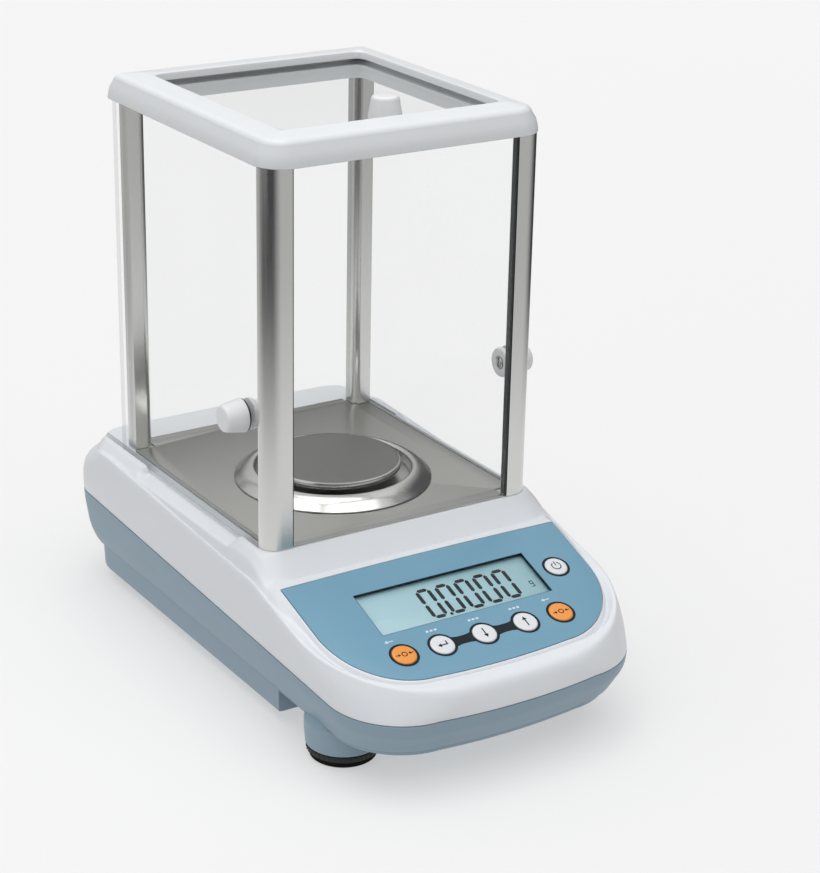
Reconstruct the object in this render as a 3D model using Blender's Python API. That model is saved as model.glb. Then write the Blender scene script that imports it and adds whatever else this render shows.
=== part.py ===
"""Analytical balance with a glass draft shield, a round weighing pan, a sloped keypad and levelling feet.

Millimetres are used throughout and scaled to metres at the end. While building, x is measured from
the plane of symmetry, y from the front faces of the front posts (positive to the rear) and z from
the table. SHIFT then centres the footprint on the origin.
"""

import math

import bmesh
import bpy
import numpy as np

for ob in list(bpy.data.objects):
    bpy.data.objects.remove(ob, do_unlink=True)

MM = 0.001
DECK = 102.0           # height of the weighing-chamber deck above the table
BASE = DECK - 94.0     # underside of the base
NOSE = DECK - 81.2     # underside of the front part, over the front feet
SHIFT = -61.9          # moves the footprint's centre onto y = 0
GAP = 0.3              # clearance between separate pieces

PAN_Y = 77.0           # centre of the pan
POST_TOP = DECK + 215.0
FRAME_TOP = DECK + 231.0
SLOPE = math.atan(0.343)     # keypad slope
PANEL_Z0 = DECK - 5.5        # keypad plane: z = PANEL_Z0 + 0.343 y


# ---------------------------------------------------------------- helpers

def finish_mesh(bm, name, triangles=False):
    bmesh.ops.remove_doubles(bm, verts=bm.verts, dist=1e-5)
    if triangles:
        bmesh.ops.triangulate(bm, faces=bm.faces)
    bmesh.ops.recalc_face_normals(bm, faces=bm.faces)
    me = bpy.data.meshes.new(name)
    bm.to_mesh(me)
    bm.free()
    ob = bpy.data.objects.new(name, me)
    bpy.context.scene.collection.objects.link(ob)
    return ob


def from_pydata(name, verts, faces, triangles=False):
    bm = bmesh.new()
    vs = [bm.verts.new(v) for v in verts]
    for f in faces:
        ids = []
        for i in f:
            if not ids or ids[-1] != i:
                ids.append(i)
        if len(ids) > 2 and ids[0] == ids[-1]:
            ids = ids[:-1]
        if len(set(ids)) >= 3:
            try:
                bm.faces.new([vs[i] for i in ids])
            except ValueError:
                pass
    return finish_mesh(bm, name, triangles)


def box(name, x0, x1, y0, y1, z0, z1, bevel=0.0, segments=1):
    bm = bmesh.new()
    bmesh.ops.create_cube(bm, size=1.0)
    for v in bm.verts:
        v.co.x = x0 if v.co.x < 0 else x1
        v.co.y = y0 if v.co.y < 0 else y1
        v.co.z = z0 if v.co.z < 0 else z1
    if bevel > 0:
        bmesh.ops.bevel(bm, geom=list(bm.edges), offset=bevel, segments=segments, affect="EDGES", profile=0.5)
    return finish_mesh(bm, name)


def prism(name, outline, z0, z1):
    """Extrudes a closed 2-D outline along z."""
    n = len(outline)
    verts = [(x, y, z0) for x, y in outline] + [(x, y, z1) for x, y in outline]
    faces = [list(range(n))[::-1], [n + i for i in range(n)]]
    faces += [[i, (i + 1) % n, n + (i + 1) % n, n + i] for i in range(n)]
    return from_pydata(name, verts, faces)


def lathe(name, profile, centre=(0, 0, 0), axis="z", segs=48):
    """Turns a closed profile of (radius, height) points about an axis. Points at radius 0 close on the axis."""
    verts, idx = [], []
    for r, h in profile:
        row = []
        if r < 1e-6:
            verts.append((0.0, 0.0, h))
            row = [len(verts) - 1] * segs
        else:
            for k in range(segs):
                a = 2 * math.pi * (k + 0.5) / segs
                verts.append((r * math.cos(a), r * math.sin(a), h))
                row.append(len(verts) - 1)
        idx.append(row)
    faces = []
    m = len(profile)
    for j in range(m):
        a, b = idx[j], idx[(j + 1) % m]
        if profile[j][0] < 1e-6 and profile[(j + 1) % m][0] < 1e-6:
            continue
        for k in range(segs):
            k2 = (k + 1) % segs
            faces.append([a[k], a[k2], b[k2], b[k]])
    out = []
    for x, y, z in verts:
        if axis == "z":
            p = (x, y, z)
        elif axis == "x":
            p = (z, x, y)
        elif axis == "-x":
            p = (-z, -x, y)
        elif axis == "y":
            p = (y, z, x)
        out.append((p[0] + centre[0], p[1] + centre[1], p[2] + centre[2]))
    return from_pydata(name, out, faces)


def cut(target, cutters, mode="DIFFERENCE"):
    """Cuts (or joins) solids and keeps the result as the target's own mesh."""
    for c in cutters:
        mod = target.modifiers.new("cut", "BOOLEAN")
        mod.operation = mode
        mod.solver = "EXACT"
        mod.object = c
        bpy.context.view_layer.update()
        graph = bpy.context.evaluated_depsgraph_get()
        me = bpy.data.meshes.new_from_object(target.evaluated_get(graph))
        target.modifiers.remove(mod)
        target.data = me
        bpy.data.objects.remove(c, do_unlink=True)
    bm = bmesh.new()
    bm.from_mesh(target.data)
    bmesh.ops.remove_doubles(bm, verts=bm.verts, dist=1e-4)
    bm.to_mesh(target.data)
    bm.free()
    return target


def tilt(ob):
    """Takes a piece made flat, with (x, v, n) = across, up the slope and out of the keypad, onto the keypad plane."""
    c, s = math.cos(SLOPE), math.sin(SLOPE)
    for v in ob.data.vertices:
        x, u, n = v.co
        v.co = (x, u * c - n * s, PANEL_Z0 + u * s + n * c)
    ob.data.update()
    return ob


def up(y):
    """Distance up the keypad slope of a point whose plan position is y."""
    return y / math.cos(SLOPE)


# ---------------------------------------------------------------- housing outlines

STATIONS = [-36, -28, -22, -18.3, -13, -7, -1, 6, 14, 28, 33, 52, 72, 92, 112, 128, 143, 148, 158, 168, 180]


def smooth(t):
    t = min(1.0, max(0.0, t))
    return t * t * (3 - 2 * t)


def half_outline(w, yf, k, rf, yb, rb, stations=STATIONS, taper=0.0):
    """Right half of a housing outline, front centre to rear centre. Every outline has the same number of points."""
    pts = []
    xc = w - rf
    for f in (0.0, 0.28, 0.56, 0.8):
        pts.append((xc * f, yf + k * (xc * f) ** 2))
    yc = yf + k * xc * xc + rf
    for i in range(9):
        a = math.radians(-90 + 90 * i / 8)
        pts.append((xc + rf * math.cos(a), yc + rf * math.sin(a)))
    for y in stations:
        pts.append((w, float(y)))
    for i in range(5):
        a = math.radians(90 * i / 4)
        pts.append((w - rb + rb * math.cos(a), yb - rb + rb * math.sin(a)))
    for f in (0.66, 0.33, 0.0):
        pts.append(((w - rb) * f, yb + 0.5 * (1 - f * f)))
    return pts


def ring(half, zfun):
    """Closes a half outline into a full ring; the points on the plane of symmetry are shared."""
    right = [(x, y, zfun(x, y)) for x, y in half]
    left = [(-x, y, z) for x, y, z in right[1:-1]][::-1]
    return right + left


def ladder(n_half, start):
    """Faces that fill a ring by joining its left and right points at equal y."""
    n = 2 * n_half - 2
    faces = []
    for i in range(n_half - 1):
        a, b = i, i + 1
        la = (n - a) % n
        lb = (n - b) % n
        faces.append([start + a, start + b, start + lb, start + la])
    return faces


def loft(name, rings, top_fill=True, bottom_fill=True):
    n = len(rings[0])
    verts = [p for r in rings for p in r]
    faces = []
    for j in range(len(rings) - 1):
        for i in range(n):
            i2 = (i + 1) % n
            faces.append([j * n + i, j * n + i2, (j + 1) * n + i2, (j + 1) * n + i])
    nh = n // 2 + 1
    if top_fill:
        faces += ladder(nh, 0)
    if bottom_fill:
        faces += [f[::-1] for f in ladder(nh, (len(rings) - 1) * n)]
    return from_pydata(name, verts, faces, True)


def z_top(y):
    """Height of the raised deck and keypad block along its length."""
    if y >= -1:
        return DECK
    if y >= -13:
        return DECK + (y + 1) * 11.9 / 12.0
    if y >= -18.5:
        return DECK - 11.9
    return PANEL_Z0 + 0.343 * y


def z_crest(y):
    """Height of the shoulder that runs round the upper housing."""
    if y > 8:
        return DECK - 13 + 0.05 * y
    if y > -12:
        a, b = DECK - 13 + 0.05 * y, DECK - 13 + 0.249 * y
        return b + (a - b) * smooth((y + 12) / 20.0)
    return DECK - 13 + 0.249 * y


def z_part(y):
    """Height of the seam between the upper and lower housings."""
    return DECK - 52.6 + 0.043 * y


LEDGE0, LEDGE1 = 33.0, 143.0


def in_ledge(y):
    return LEDGE0 - 0.5 <= y <= LEDGE1 + 0.5


# ---------------------------------------------------------------- upper housing

def narrow(y):
    """1 beside the keypad, where the groove hugs the block; 0 beside the weighing chamber."""
    return 1.0 - smooth((y + 60.0) / 42.0)


half_a0 = half_outline(86.0, -100.8, 0.00097, 42.5, 209.5, 16.0)
half_a1, half_a2 = [], []
for x, y in half_outline(90.5, -104.9, 0.00097, 47.0, 213.5, 20.0):
    half_a1.append((86.4 if (abs(x - 90.5) < 1e-6 and in_ledge(y)) else x, y))
for x, y in half_outline(95.0, -106.9, 0.00095, 49.5, 215.5, 23.0):
    near = narrow(y)
    half_a2.append((96.0 if (abs(x - 95.0) < 1e-6 and in_ledge(y)) else x - 3.2 * near * (x / 95.0), y))


def z_a1(x, y):
    if x < 86.6 and in_ledge(y):
        return DECK - 5.0
    return z_top(y)


def z_a2(x, y):
    if in_ledge(y) and x > 94:
        return DECK - 5.4
    if y > -1:
        return DECK - 4.6
    if y > -18.5:
        t = (y + 18.5) / 17.5
        return (DECK - 4.6) * t + (z_top(-18.5) - 3.4) * (1 - t)
    return z_top(y) - 3.4


def z_valley(x, y):
    return z_crest(y) - 0.9 + 1.0 * narrow(y) - 0.8 * drop(y)


def drop(y):
    """The shoulder falls away round the rear corners."""
    return 8.0 * smooth((y - 178.0) / 45.0)


H_B = [(x - 1.9 * narrow(y) * (x / 97.2), y) for x, y in half_outline(97.2, -109.4, 0.0009, 52.0, 219.5, 30.0)]
H_C = half_outline(98.4, -117.6, 0.0008, 66.0, 223.0, 37.0)
H_D = half_outline(99.3, -120.4, 0.00076, 69.0, 230.0, 44.0)
H_E = half_outline(99.1, -121.9, 0.0009, 64.0, 238.5, 38.0)
H_E2 = half_outline(97.0, -122.5, 0.0012, 54.0, 244.4, 33.0)
H_F = half_outline(93.6, -122.6, 0.00158, 42.0, 245.0, 25.0)
# inside
H_G = half_outline(90.9, -119.8, 0.00158, 39.5, 242.2, 23.0)
H_I = half_outline(95.2, -115.0, 0.0009, 60.0, 225.0, 40.0)
H_J = half_outline(83.0, -98.5, 0.00097, 40.0, 207.0, 11.0)

rings = [
    ring(half_a0, lambda x, y: z_top(y)),
    ring(half_a1, z_a1),
    ring(half_a2, z_a2),
    ring(H_B, z_valley),
    ring(H_C, lambda x, y: z_crest(y) + 0.5 - drop(y)),
    ring(H_D, lambda x, y: z_crest(y) - 2.2 - drop(y)),
    ring(H_E, lambda x, y: z_crest(y) - 7.5 - drop(y)),
    ring(H_E2, lambda x, y: 0.45 * (z_crest(y) - 7.5) + 0.55 * z_part(y)),
    ring(H_F, lambda x, y: z_part(y) + 0.15),
    ring(H_G, lambda x, y: z_part(y) + 0.15),
    ring(H_I, lambda x, y: z_crest(y) - 6.2 - drop(y)),
    ring(H_J, lambda x, y: min(z_top(y) - 3.4, DECK - 8.6, z_crest(y) + 4.4 if y > 20 else z_top(y) - 3.4)),
]
upper = loft("upper_housing", rings)


# ---------------------------------------------------------------- lower housing

def z_low(y, deep, shallow):
    """The base is deep behind the front feet and shallower over them."""
    return deep if y > -8.6 else shallow


LOW_ST = [-36, -28, -22, -18.3, -13, -8.9, -8.3, 6, 14, 28, 33, 52, 72, 92, 112, 128, 143, 148, 158, 168, 180]
L_A = half_outline(93.6, -122.6, 0.00158, 42.0, 245.0, 25.0, LOW_ST)
L_B = half_outline(93.3, -121.9, 0.00158, 42.0, 244.8, 25.0, LOW_ST)
L_C = half_outline(91.4, -119.2, 0.00158, 42.0, 243.0, 26.0, LOW_ST)
L_D = half_outline(88.2, -115.6, 0.00158, 41.0, 239.6, 27.0, LOW_ST)
L_E = half_outline(86.0, -113.2, 0.00158, 41.0, 237.4, 28.0, LOW_ST)
L_F = half_outline(85.4, -112.6, 0.00158, 40.6, 236.8, 28.0, LOW_ST)
L_G = half_outline(82.8, -110.0, 0.00158, 40.0, 234.2, 27.0, LOW_ST)
L_I = half_outline(87.6, -115.6, 0.00158, 40.0, 239.4, 24.0, LOW_ST)
L_J = half_outline(90.9, -119.8, 0.00158, 39.5, 242.2, 23.0, LOW_ST)

rings = [
    ring(L_J, lambda x, y: z_part(y) - 0.15),
    ring(L_A, lambda x, y: z_part(y) - 0.15),
    ring(L_B, lambda x, y: z_part(y) - 7.0),
    ring(L_C, lambda x, y: min(z_part(y) - 12.0, DECK - 68.0)),
    ring(L_D, lambda x, y: DECK - 76.5),
    ring(L_E, lambda x, y: DECK - 76.9 - (1.0 if y <= -8.6 else 0.0)),
    ring(L_F, lambda x, y: z_low(y, BASE + 0.4, NOSE + 0.4)),
    ring(L_G, lambda x, y: z_low(y, BASE, NOSE)),
]
inner = [
    ring(L_G, lambda x, y: z_low(y - 3.0, BASE + 3.2, NOSE + 3.2)),
    ring(L_I, lambda x, y: DECK - 70.5),
]


def loft_tub(name, outer, inside):
    """A tub: outer rings from the rim down and the floor, then the inner floor and rings back up to the rim."""
    n = len(outer[0])
    nh = n // 2 + 1
    verts = [p for r in outer for p in r] + [p for r in inside for p in r]
    faces = []
    for j in range(len(outer) - 1):
        for i in range(n):
            i2 = (i + 1) % n
            faces.append([j * n + i, j * n + i2, (j + 1) * n + i2, (j + 1) * n + i])
    faces += [f[::-1] for f in ladder(nh, (len(outer) - 1) * n)]
    base = len(outer) * n
    faces += ladder(nh, base)
    for j in range(len(inside) - 1):
        for i in range(n):
            i2 = (i + 1) % n
            a = base + j * n
            faces.append([a + i, a + i2, a + n + i2, a + n + i])
    top = base + (len(inside) - 1) * n
    for i in range(n):
        i2 = (i + 1) % n
        faces.append([top + i, top + i2, i2, i])
    return from_pydata(name, verts, faces, True)


lower = loft_tub("lower_housing", rings, inner)


# ---------------------------------------------------------------- chamber deck, ring, pan

# the stainless plate covers the deck between the door rails, notched round the posts
plate = prism("chamber_floor", [
    (-70.4, 0.9), (70.4, 0.9), (70.4, 11.2), (81.4, 11.2), (81.4, 169.4), (70.4, 169.4), (70.4, 184.0),
    (-70.4, 184.0), (-70.4, 169.4), (-81.4, 169.4), (-81.4, 11.2), (-70.4, 11.2)], DECK + 0.2, DECK + 1.2)
cut(plate, [lathe("c", [(0, -5), (14, -5), (14, 5), (0, 5)], (0, PAN_Y, DECK), segs=32)])

draft_ring = lathe("draft_ring", [
    (58.4, 0.0), (58.4, 0.5), (56.6, 2.0), (53.4, 4.8), (50.0, 6.6), (47.6, 7.0), (46.3, 6.2), (45.8, 4.4), (45.8, 0.0)],
    (0, PAN_Y, DECK + 1.5), segs=48)

pan = lathe("weighing_pan", [
    (0, 11.9), (37.6, 11.9), (39.3, 11.3), (40.0, 10.0), (40.0, 8.0), (39.3, 8.0), (39.2, 10.0), (38.4, 11.0), (0, 11.1)],
    (0, PAN_Y, DECK + 0.3), segs=48)

# hub and spider that carry the pan on the load cell's stem
pan_support = lathe("pan_support", [
    (0, -30.0), (1.4, -30.0), (2.5, -27.0), (2.5, -2.0), (5.0, -1.0), (5.0, 4.6), (9.0, 6.4), (28.0, 8.6), (28.0, 10.6), (0, 10.6)],
    (0, PAN_Y, DECK + 0.3), segs=24)


# ---------------------------------------------------------------- draft shield frame

def quarter_post(name, sx):
    """Front corner post: a quarter-round extrusion with a rebate behind its inner flange."""
    r, n = 9.6, 8
    pts = [(71.5, 0.0), (87.5 - r, 0.0)]
    for i in range(1, n + 1):
        a = math.radians(-90 + 90 * i / n)
        pts.append((87.5 - r + r * math.cos(a), r + r * math.sin(a)))
    pts += [(87.5, 10.0), (75.6, 10.0), (75.6, 6.4), (71.5, 6.4)]
    pts = [(sx * x, y) for x, y in pts]
    if sx < 0:
        pts = pts[::-1]
    return prism(name, pts, DECK + 0.2, POST_TOP - 0.2)


def rear_post(name, sx):
    """Rear corner post with a rounded inner corner."""
    r, n = 5.0, 6
    pts = [(83.0, 180.5), (83.0, 170.0), (71.2 + r, 170.0)]
    for i in range(1, n + 1):
        a = math.radians(-90 - 90 * i / n)
        pts.append((71.2 + r + r * math.cos(a), 170.0 + r + r * math.sin(a)))
    pts += [(71.2, 180.5)]
    pts = [(sx * x, y) for x, y in pts]
    if sx > 0:
        pts = pts[::-1]
    return prism(name, pts, DECK + 0.2, POST_TOP - 0.2)


quarter_post("post_front_left", -1)
quarter_post("post_front_right", 1)
rear_post("post_rear_left", -1)
rear_post("post_rear_right", 1)


def frame_outline(inset, r):
    """Outer plan of the top frame: rounded front corners, tighter rear corners."""
    w, yf, yb = 88.8 - inset, -4.4 + inset, 188.6 - inset
    rf, rb = max(0.6, r - inset), max(0.5, 6.0 - inset)
    pts = []
    for cx, cy, rr, a0_ in ((w - rf, yf + rf, rf, -90), (w - rb, yb - rb, rb, 0), (-w + rb, yb - rb, rb, 90), (-w + rf, yf + rf, rf, 180)):
        for i in range(7):
            a = math.radians(a0_ + 90 * i / 6)
            pts.append((cx + rr * math.cos(a), cy + rr * math.sin(a)))
    return pts


def make_frame():
    R, lean, crown = 5.0, 3.4, 1.6
    levels = [(0.4, 0.0), (0.0, 0.6), (0.35, 3.0), (1.5, 7.4)]
    for i in range(0, 6):
        a = math.radians(14 + 76 * i / 5)
        levels.append((lean + R - R * math.cos(a), 14.4 - R + R * math.sin(a)))
    levels.append((lean + R + 9.0, 14.4 + crown))
    rings_ = []
    for inset, h in levels:
        rings_.append([(x, y, POST_TOP + h) for x, y in frame_outline(inset, 17.0)])
    n = len(rings_[0])
    verts = [p for r_ in rings_ for p in r_]
    faces = [list(range(n))[::-1]]
    for j in range(len(rings_) - 1):
        for i in range(n):
            i2 = (i + 1) % n
            faces.append([j * n + i, j * n + i2, (j + 1) * n + i2, (j + 1) * n + i])
    top = (len(rings_) - 1) * n
    faces.append([top + i for i in range(n)])
    fr = from_pydata("top_frame", verts, faces)
    cut(fr, [
        box("c1", -69.4, 69.4, 15.2, 164.2, POST_TOP - 5, FRAME_TOP + 5),
        # groove in which the top door slides back through the rear rail
        box("c2", -73.6, 73.6, 12.2, 200.0, POST_TOP + 7.6, POST_TOP + 11.6),
        # grooves that guide the upper edges of the side doors, open to the rear
        box("c3", -87.5, -84.1, 10.0, 200.0, POST_TOP - 1, POST_TOP + 3.0),
        box("c4", 84.1, 87.5, 10.0, 200.0, POST_TOP - 1, POST_TOP + 3.0),
        # slots for the fixed front and rear glass
        box("c5", -71.0, 71.0, 0.5, 4.1, POST_TOP - 1, POST_TOP + 3.0),
        box("c6", -71.0, 71.0, 176.2, 179.4, POST_TOP - 1, POST_TOP + 3.0),
    ])
    return fr


make_frame()

# fixed glass, front and rear
box("front_glass", -70.5, 70.5, 0.8, 3.8, DECK + 1.5, POST_TOP + 2.7, 0.2)
box("rear_glass", -70.6, 70.6, 176.5, 179.1, DECK + 1.5, POST_TOP + 2.7, 0.2)


def seal(name, sx):
    """Black strip between the front glass and its post."""
    x0, x1 = sorted((sx * 70.75, sx * 71.25))
    return box(name, x0, x1, 0.6, 5.0, DECK + 1.5, POST_TOP - 0.4)


seal("front_seal_left", -1)
seal("front_seal_right", 1)

KNOB_Y, KNOB_Z = 26.0, DECK + 73.0


def side_door(name, sx):
    x0, x1 = sorted((sx * 84.5, sx * 87.1))
    g = box(name, x0, x1, 10.5, 181.0, DECK - 3.4, POST_TOP + 2.6, 0.2)
    cut(g, [lathe("c", [(0, -6), (2.3, -6), (2.3, 6), (0, 6)], (sx * 85.8, KNOB_Y, KNOB_Z), axis="x", segs=20)])
    return g


side_door("left_door_glass", -1)
side_door("right_door_glass", 1)

top = box("top_door_glass", -73.2, 73.2, 12.6, 186.4, POST_TOP + 8.0, POST_TOP + 11.0, 0.2)
TOP_Y = 25.2
cut(top, [lathe("c", [(0, -6), (2.3, -6), (2.3, 6), (0, 6)], (0, TOP_Y, POST_TOP + 9.5), segs=20)])

# knob: a truncated cone with a flat end. The clamp disc sits on the other face of the glass.
KNOB = [(3.0, 0.0), (8.8, 0.0), (8.8, 0.8), (9.5, 1.2), (9.3, 2.2), (7.75, 11.8), (6.6, 13.3), (0, 13.6), (0, 9.4), (3.0, 9.4)]
DISC = [(1.9, 0.0), (8.9, 0.0), (8.7, 2.1), (8.0, 2.7), (3.9, 2.7), (3.5, 1.6), (1.9, 1.6)]
SHANK = [(0, -8.9), (1.6, -8.9), (1.6, 1.9), (3.2, 1.9), (3.2, 2.9), (2.5, 3.5), (0, 3.5)]

for nm, sx, ax_out, ax_in in (("left", -1, "-x", "x"), ("right", 1, "x", "-x")):
    lathe("knob_" + nm, KNOB, (sx * 87.4, KNOB_Y, KNOB_Z), axis=ax_out, segs=28)
    lathe("knob_disc_" + nm, DISC, (sx * 84.2, KNOB_Y, KNOB_Z), axis=ax_in, segs=24)
    lathe("knob_screw_" + nm, SHANK, (sx * 84.2, KNOB_Y, KNOB_Z), axis=ax_in, segs=12)
lathe("knob_top", KNOB, (0, TOP_Y, POST_TOP + 11.3), segs=28)
lathe("knob_disc_top", [(r, -h) for r, h in DISC], (0, TOP_Y, POST_TOP + 7.7), segs=24)
lathe("knob_screw_top", [(r, -h) for r, h in SHANK], (0, TOP_Y, POST_TOP + 7.7), segs=12)


def door_rail(name, sx):
    """Light strip set into the deck edge that the side door runs along."""
    x0, x1 = sorted((sx * 81.8, sx * 83.9))
    return box(name, x0, x1, 11.0, 169.6, DECK + 0.2, DECK + 1.6, 0.3)


door_rail("left_door_rail", -1)
door_rail("right_door_rail", 1)

# grooves that let the side doors reach below the deck
for sx in (-1, 1):
    x0, x1 = sorted((sx * 84.1, sx * 87.43))
    cut(upper, [box("c", x0, x1, 9.8, 262.0, DECK - 4.0, DECK + 6)])

# hole for the pan's stem
cut(upper, [lathe("c", [(0, -30), (12, -30), (12, 10), (0, 10)], (0, PAN_Y, DECK), segs=32)])


# ---------------------------------------------------------------- keypad and display

def panel_outline(inset, n_arc=10):
    """Keypad outline in the slope's own plane: an arched top edge with sharp corners and a deep, rounded bottom."""
    w = 90.0 - inset
    rf = 47.0 - inset
    yf, k = -104.3 + inset, 0.00097
    half = []
    xc = w - rf
    for f in (0.0, 0.35, 0.7):
        half.append((xc * f, yf + k * (xc * f) ** 2))
    yc = yf + k * xc * xc + rf
    for i in range(n_arc + 1):
        a = math.radians(-90 + 90 * i / n_arc)
        half.append((xc + rf * math.cos(a), yc + rf * math.sin(a)))
    half.append((w + 0.8, -20.4 - inset))
    for f in (0.75, 0.5, 0.25, 0.0):
        half.append((w * f, -20.4 - inset + 2.0 * (1 - f * f)))
    full = half + [(-x, y) for x, y in half[1:-1]][::-1]
    return [(x, up(y)) for x, y in full]


LCD = (-55.0, 57.0, up(-67.6), up(-36.4))      # x0, x1, v0, v1
KEYS = {
    "key_tare_left": (-51.3, up(-83.4), 6.9),
    "key_enter": (-27.2, up(-83.7), 6.9),
    "key_down": (0.1, up(-83.7), 6.9),
    "key_up": (27.3, up(-83.6), 6.9),
    "key_tare_right": (51.3, up(-83.5), 6.9),
    "key_power": (70.2, up(-52.3), 6.6),
}


def cyl(name, x, v, r, n0, n1, segs=40):
    return lathe(name, [(0, n0), (r, n0), (r, n1), (0, n1)], (x, v, 0), segs=segs)


overlay = prism("keypad_overlay", panel_outline(0.5), -0.8, 0.1)
cutters = [box("c", LCD[0], LCD[1], LCD[2], LCD[3], -5, 5)]
for nm, (x, v, r) in KEYS.items():
    cutters.append(cyl("c", x, v, r + 0.3, -5, 5, 24))
cut(overlay, cutters)
tilt(overlay)

# the housing is recessed for the overlay, and opened for the display and the switches
cut(upper, [tilt(prism("c", panel_outline(0.0), -1.1, 3.0))])
cut(upper, [tilt(box("c", LCD[0] - 1.0, LCD[1] + 1.0, LCD[2] - 1.0, LCD[3] + 1.0, -12, 5))])
for nm, (x, v, r) in KEYS.items():
    cut(upper, [tilt(cyl("c", x, v, 3.2, -12, 5, 12))])

for nm, (x, v, r) in KEYS.items():
    # low dome with a stem that reaches the switch below
    tilt(lathe(nm, [(0, -4.6), (2.6, -4.6), (2.6, -0.55), (r, -0.55), (r, 0.35), (r - 0.8, 0.7), (0, 0.95)], (x, v, 0), segs=24))

tilt(box("lcd_window", LCD[0] - 0.6, LCD[1] + 0.6, LCD[2] - 0.6, LCD[3] + 0.6, -2.6, -1.6))
tilt(box("lcd_module", LCD[0] - 0.6, LCD[1] + 0.6, LCD[2] - 0.6, LCD[3] + 0.6, -6.4, -2.9))
tilt(box("display_board", -62.0, 76.5, up(-93.0), up(-32.0), -8.4, -6.8))


# ---------------------------------------------------------------- inside

box("base_chassis", -74.0, 74.0, 8.0, 196.0, DECK - 86.4, DECK - 82.0, 1.0)
box("main_board", 16.0, 72.0, 120.0, 190.0, DECK - 74.0, DECK - 72.4)
cell = box("load_cell", -34.0, 12.0, 48.0, 168.0, DECK - 81.4, DECK - 24.4, 2.0)
cut(cell, [
    box("c", -24.0, 22.0, 88.0, 152.0, DECK - 60.0, DECK - 34.0),
    lathe("c", [(0, -30), (3.6, -30), (3.6, 10), (0, 10)], (0, PAN_Y, DECK - 24.4 + 8.0), segs=20),
])


# ---------------------------------------------------------------- feet

FEET = {"front_left": (-70.0, -52.5, 20.5, NOSE + 6.2), "front_right": (70.0, -52.5, 20.5, NOSE + 6.2),
        "rear_left": (-56.0, 202.0, 17.0, BASE + 3.2), "rear_right": (56.0, 202.0, 17.0, BASE + 3.2)}
# conical bosses carry the front part of the lower housing down to its feet
for nm, (x, y, r, floor) in FEET.items():
    if nm.startswith("front"):
        cut(lower, [lathe("c", [(0, 0), (20.4, 0), (20.9, 0.5), (21.6, 9.0), (21.6, 15.0), (18.5, 19.0), (0, 19.0)], (x, y, BASE), segs=32)], "UNION")
for nm, (x, y, r, floor) in FEET.items():
    under = BASE
    cut(lower, [lathe("c", [(0, -4), (3.3, -4), (3.3, floor - under + 6), (0, floor - under + 6)], (x, y, under), segs=16)])
    # threaded stud with a broad wheel under the housing, standing in a rubber pad
    w0, w1 = 4.0, under - 0.6
    stud = [(0, 2.6), (7.5, 2.6), (7.5, w0), (r, w0), (r, w1 - 0.8), (r - 0.8, w1)]
    stud += [(3.0, under - 0.6), (3.0, floor + 9.0), (2.2, floor + 9.8), (0, floor + 9.8)]
    lathe("foot_stud_" + nm, stud, (x, y, 0), segs=24)
    lathe("foot_pad_" + nm, [(0, 0.0), (r - 3.0, 0.0), (r - 1.8, 0.8), (r - 1.8, w0 - 0.3), (7.8, w0 - 0.3), (7.8, 2.3), (0, 2.3)], (x, y, 0), segs=24)


# ---------------------------------------------------------------- level, connectors, screws

LEVEL_Y = 203.0
cut(upper, [lathe("c", [(0, -6.2), (8.3, -6.2), (8.3, 6), (0, 6)], (0, LEVEL_Y, DECK), segs=32)])
lathe("level_housing", [(0, -5.9), (8.0, -5.9), (8.0, 0.9), (7.4, 1.4), (6.5, 1.4), (6.5, -4.2), (0, -4.2)], (0, LEVEL_Y, DECK), segs=32)
lathe("level_vial", [(0, -3.9), (6.2, -3.9), (6.2, 0.5), (5.0, 0.9), (0, 1.1)], (0, LEVEL_Y, DECK), segs=32)

# connectors in the rear wall
RW = 245.0
cut(upper, [box("c", -62.4, -31.6, 230.0, 250.0, DECK - 36.2, DECK - 23.8)])
cut(upper, [lathe("c", [(0, -12), (5.6, -12), (5.6, 8), (0, 8)], (50.0, RW, DECK - 30.0), axis="y", segs=24)])
serial = box("serial_port", -62.1, -31.9, 234.0, 246.4, DECK - 35.9, DECK - 24.1, 0.5)
dshell = prism("c", [(-56.0, DECK - 26.2), (-54.2, DECK - 33.4), (-39.8, DECK - 33.4), (-38.0, DECK - 26.2)], 0.0, 7.0)
for v in dshell.data.vertices:
    x, z, d = v.co
    v.co = (x, 247.5 - d, z)
bmd = bmesh.new()
bmd.from_mesh(dshell.data)
bmesh.ops.recalc_face_normals(bmd, faces=bmd.faces)
bmd.to_mesh(dshell.data)
bmd.free()
cut(serial, [dshell])
lathe("power_inlet", [(1.1, -9.0), (5.3, -9.0), (5.3, 1.4), (2.9, 1.4), (2.9, -6.0), (1.1, -6.0), (1.1, -0.4), (0, -0.1), (0, -9.0)],
      (50.0, RW, DECK - 30.0), axis="y", segs=24)

# cover of the hook for weighing below the balance
cut(lower, [lathe("c", [(0, -3), (12.3, -3), (12.3, 12), (0, 12)], (0, PAN_Y, BASE), segs=32)])
lathe("hook_cover", [(0, -0.4), (11.4, -0.4), (12.0, 0.2), (12.0, 2.6), (0, 2.6)], (0, PAN_Y, BASE), segs=32)

for nm, (x, y) in {"case_screw_front_left": (-76.0, 14.0), "case_screw_front_right": (76.0, 14.0),
                   "case_screw_rear_left": (-76.0, 176.0), "case_screw_rear_right": (76.0, 176.0)}.items():
    cut(lower, [lathe("c", [(0, -4), (4.4, -4), (4.4, 1.4), (2.0, 1.4), (2.0, 8), (0, 8)], (x, y, BASE), segs=16)])
    lathe(nm, [(0, 0.6), (0.9, 0.0), (3.2, 0.0), (4.0, 0.5), (4.0, 1.1), (1.7, 1.1), (1.7, 14.0), (0, 14.6)], (x, y, BASE), segs=12)


# ---------------------------------------------------------------- to metres, with the footprint centred

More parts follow.
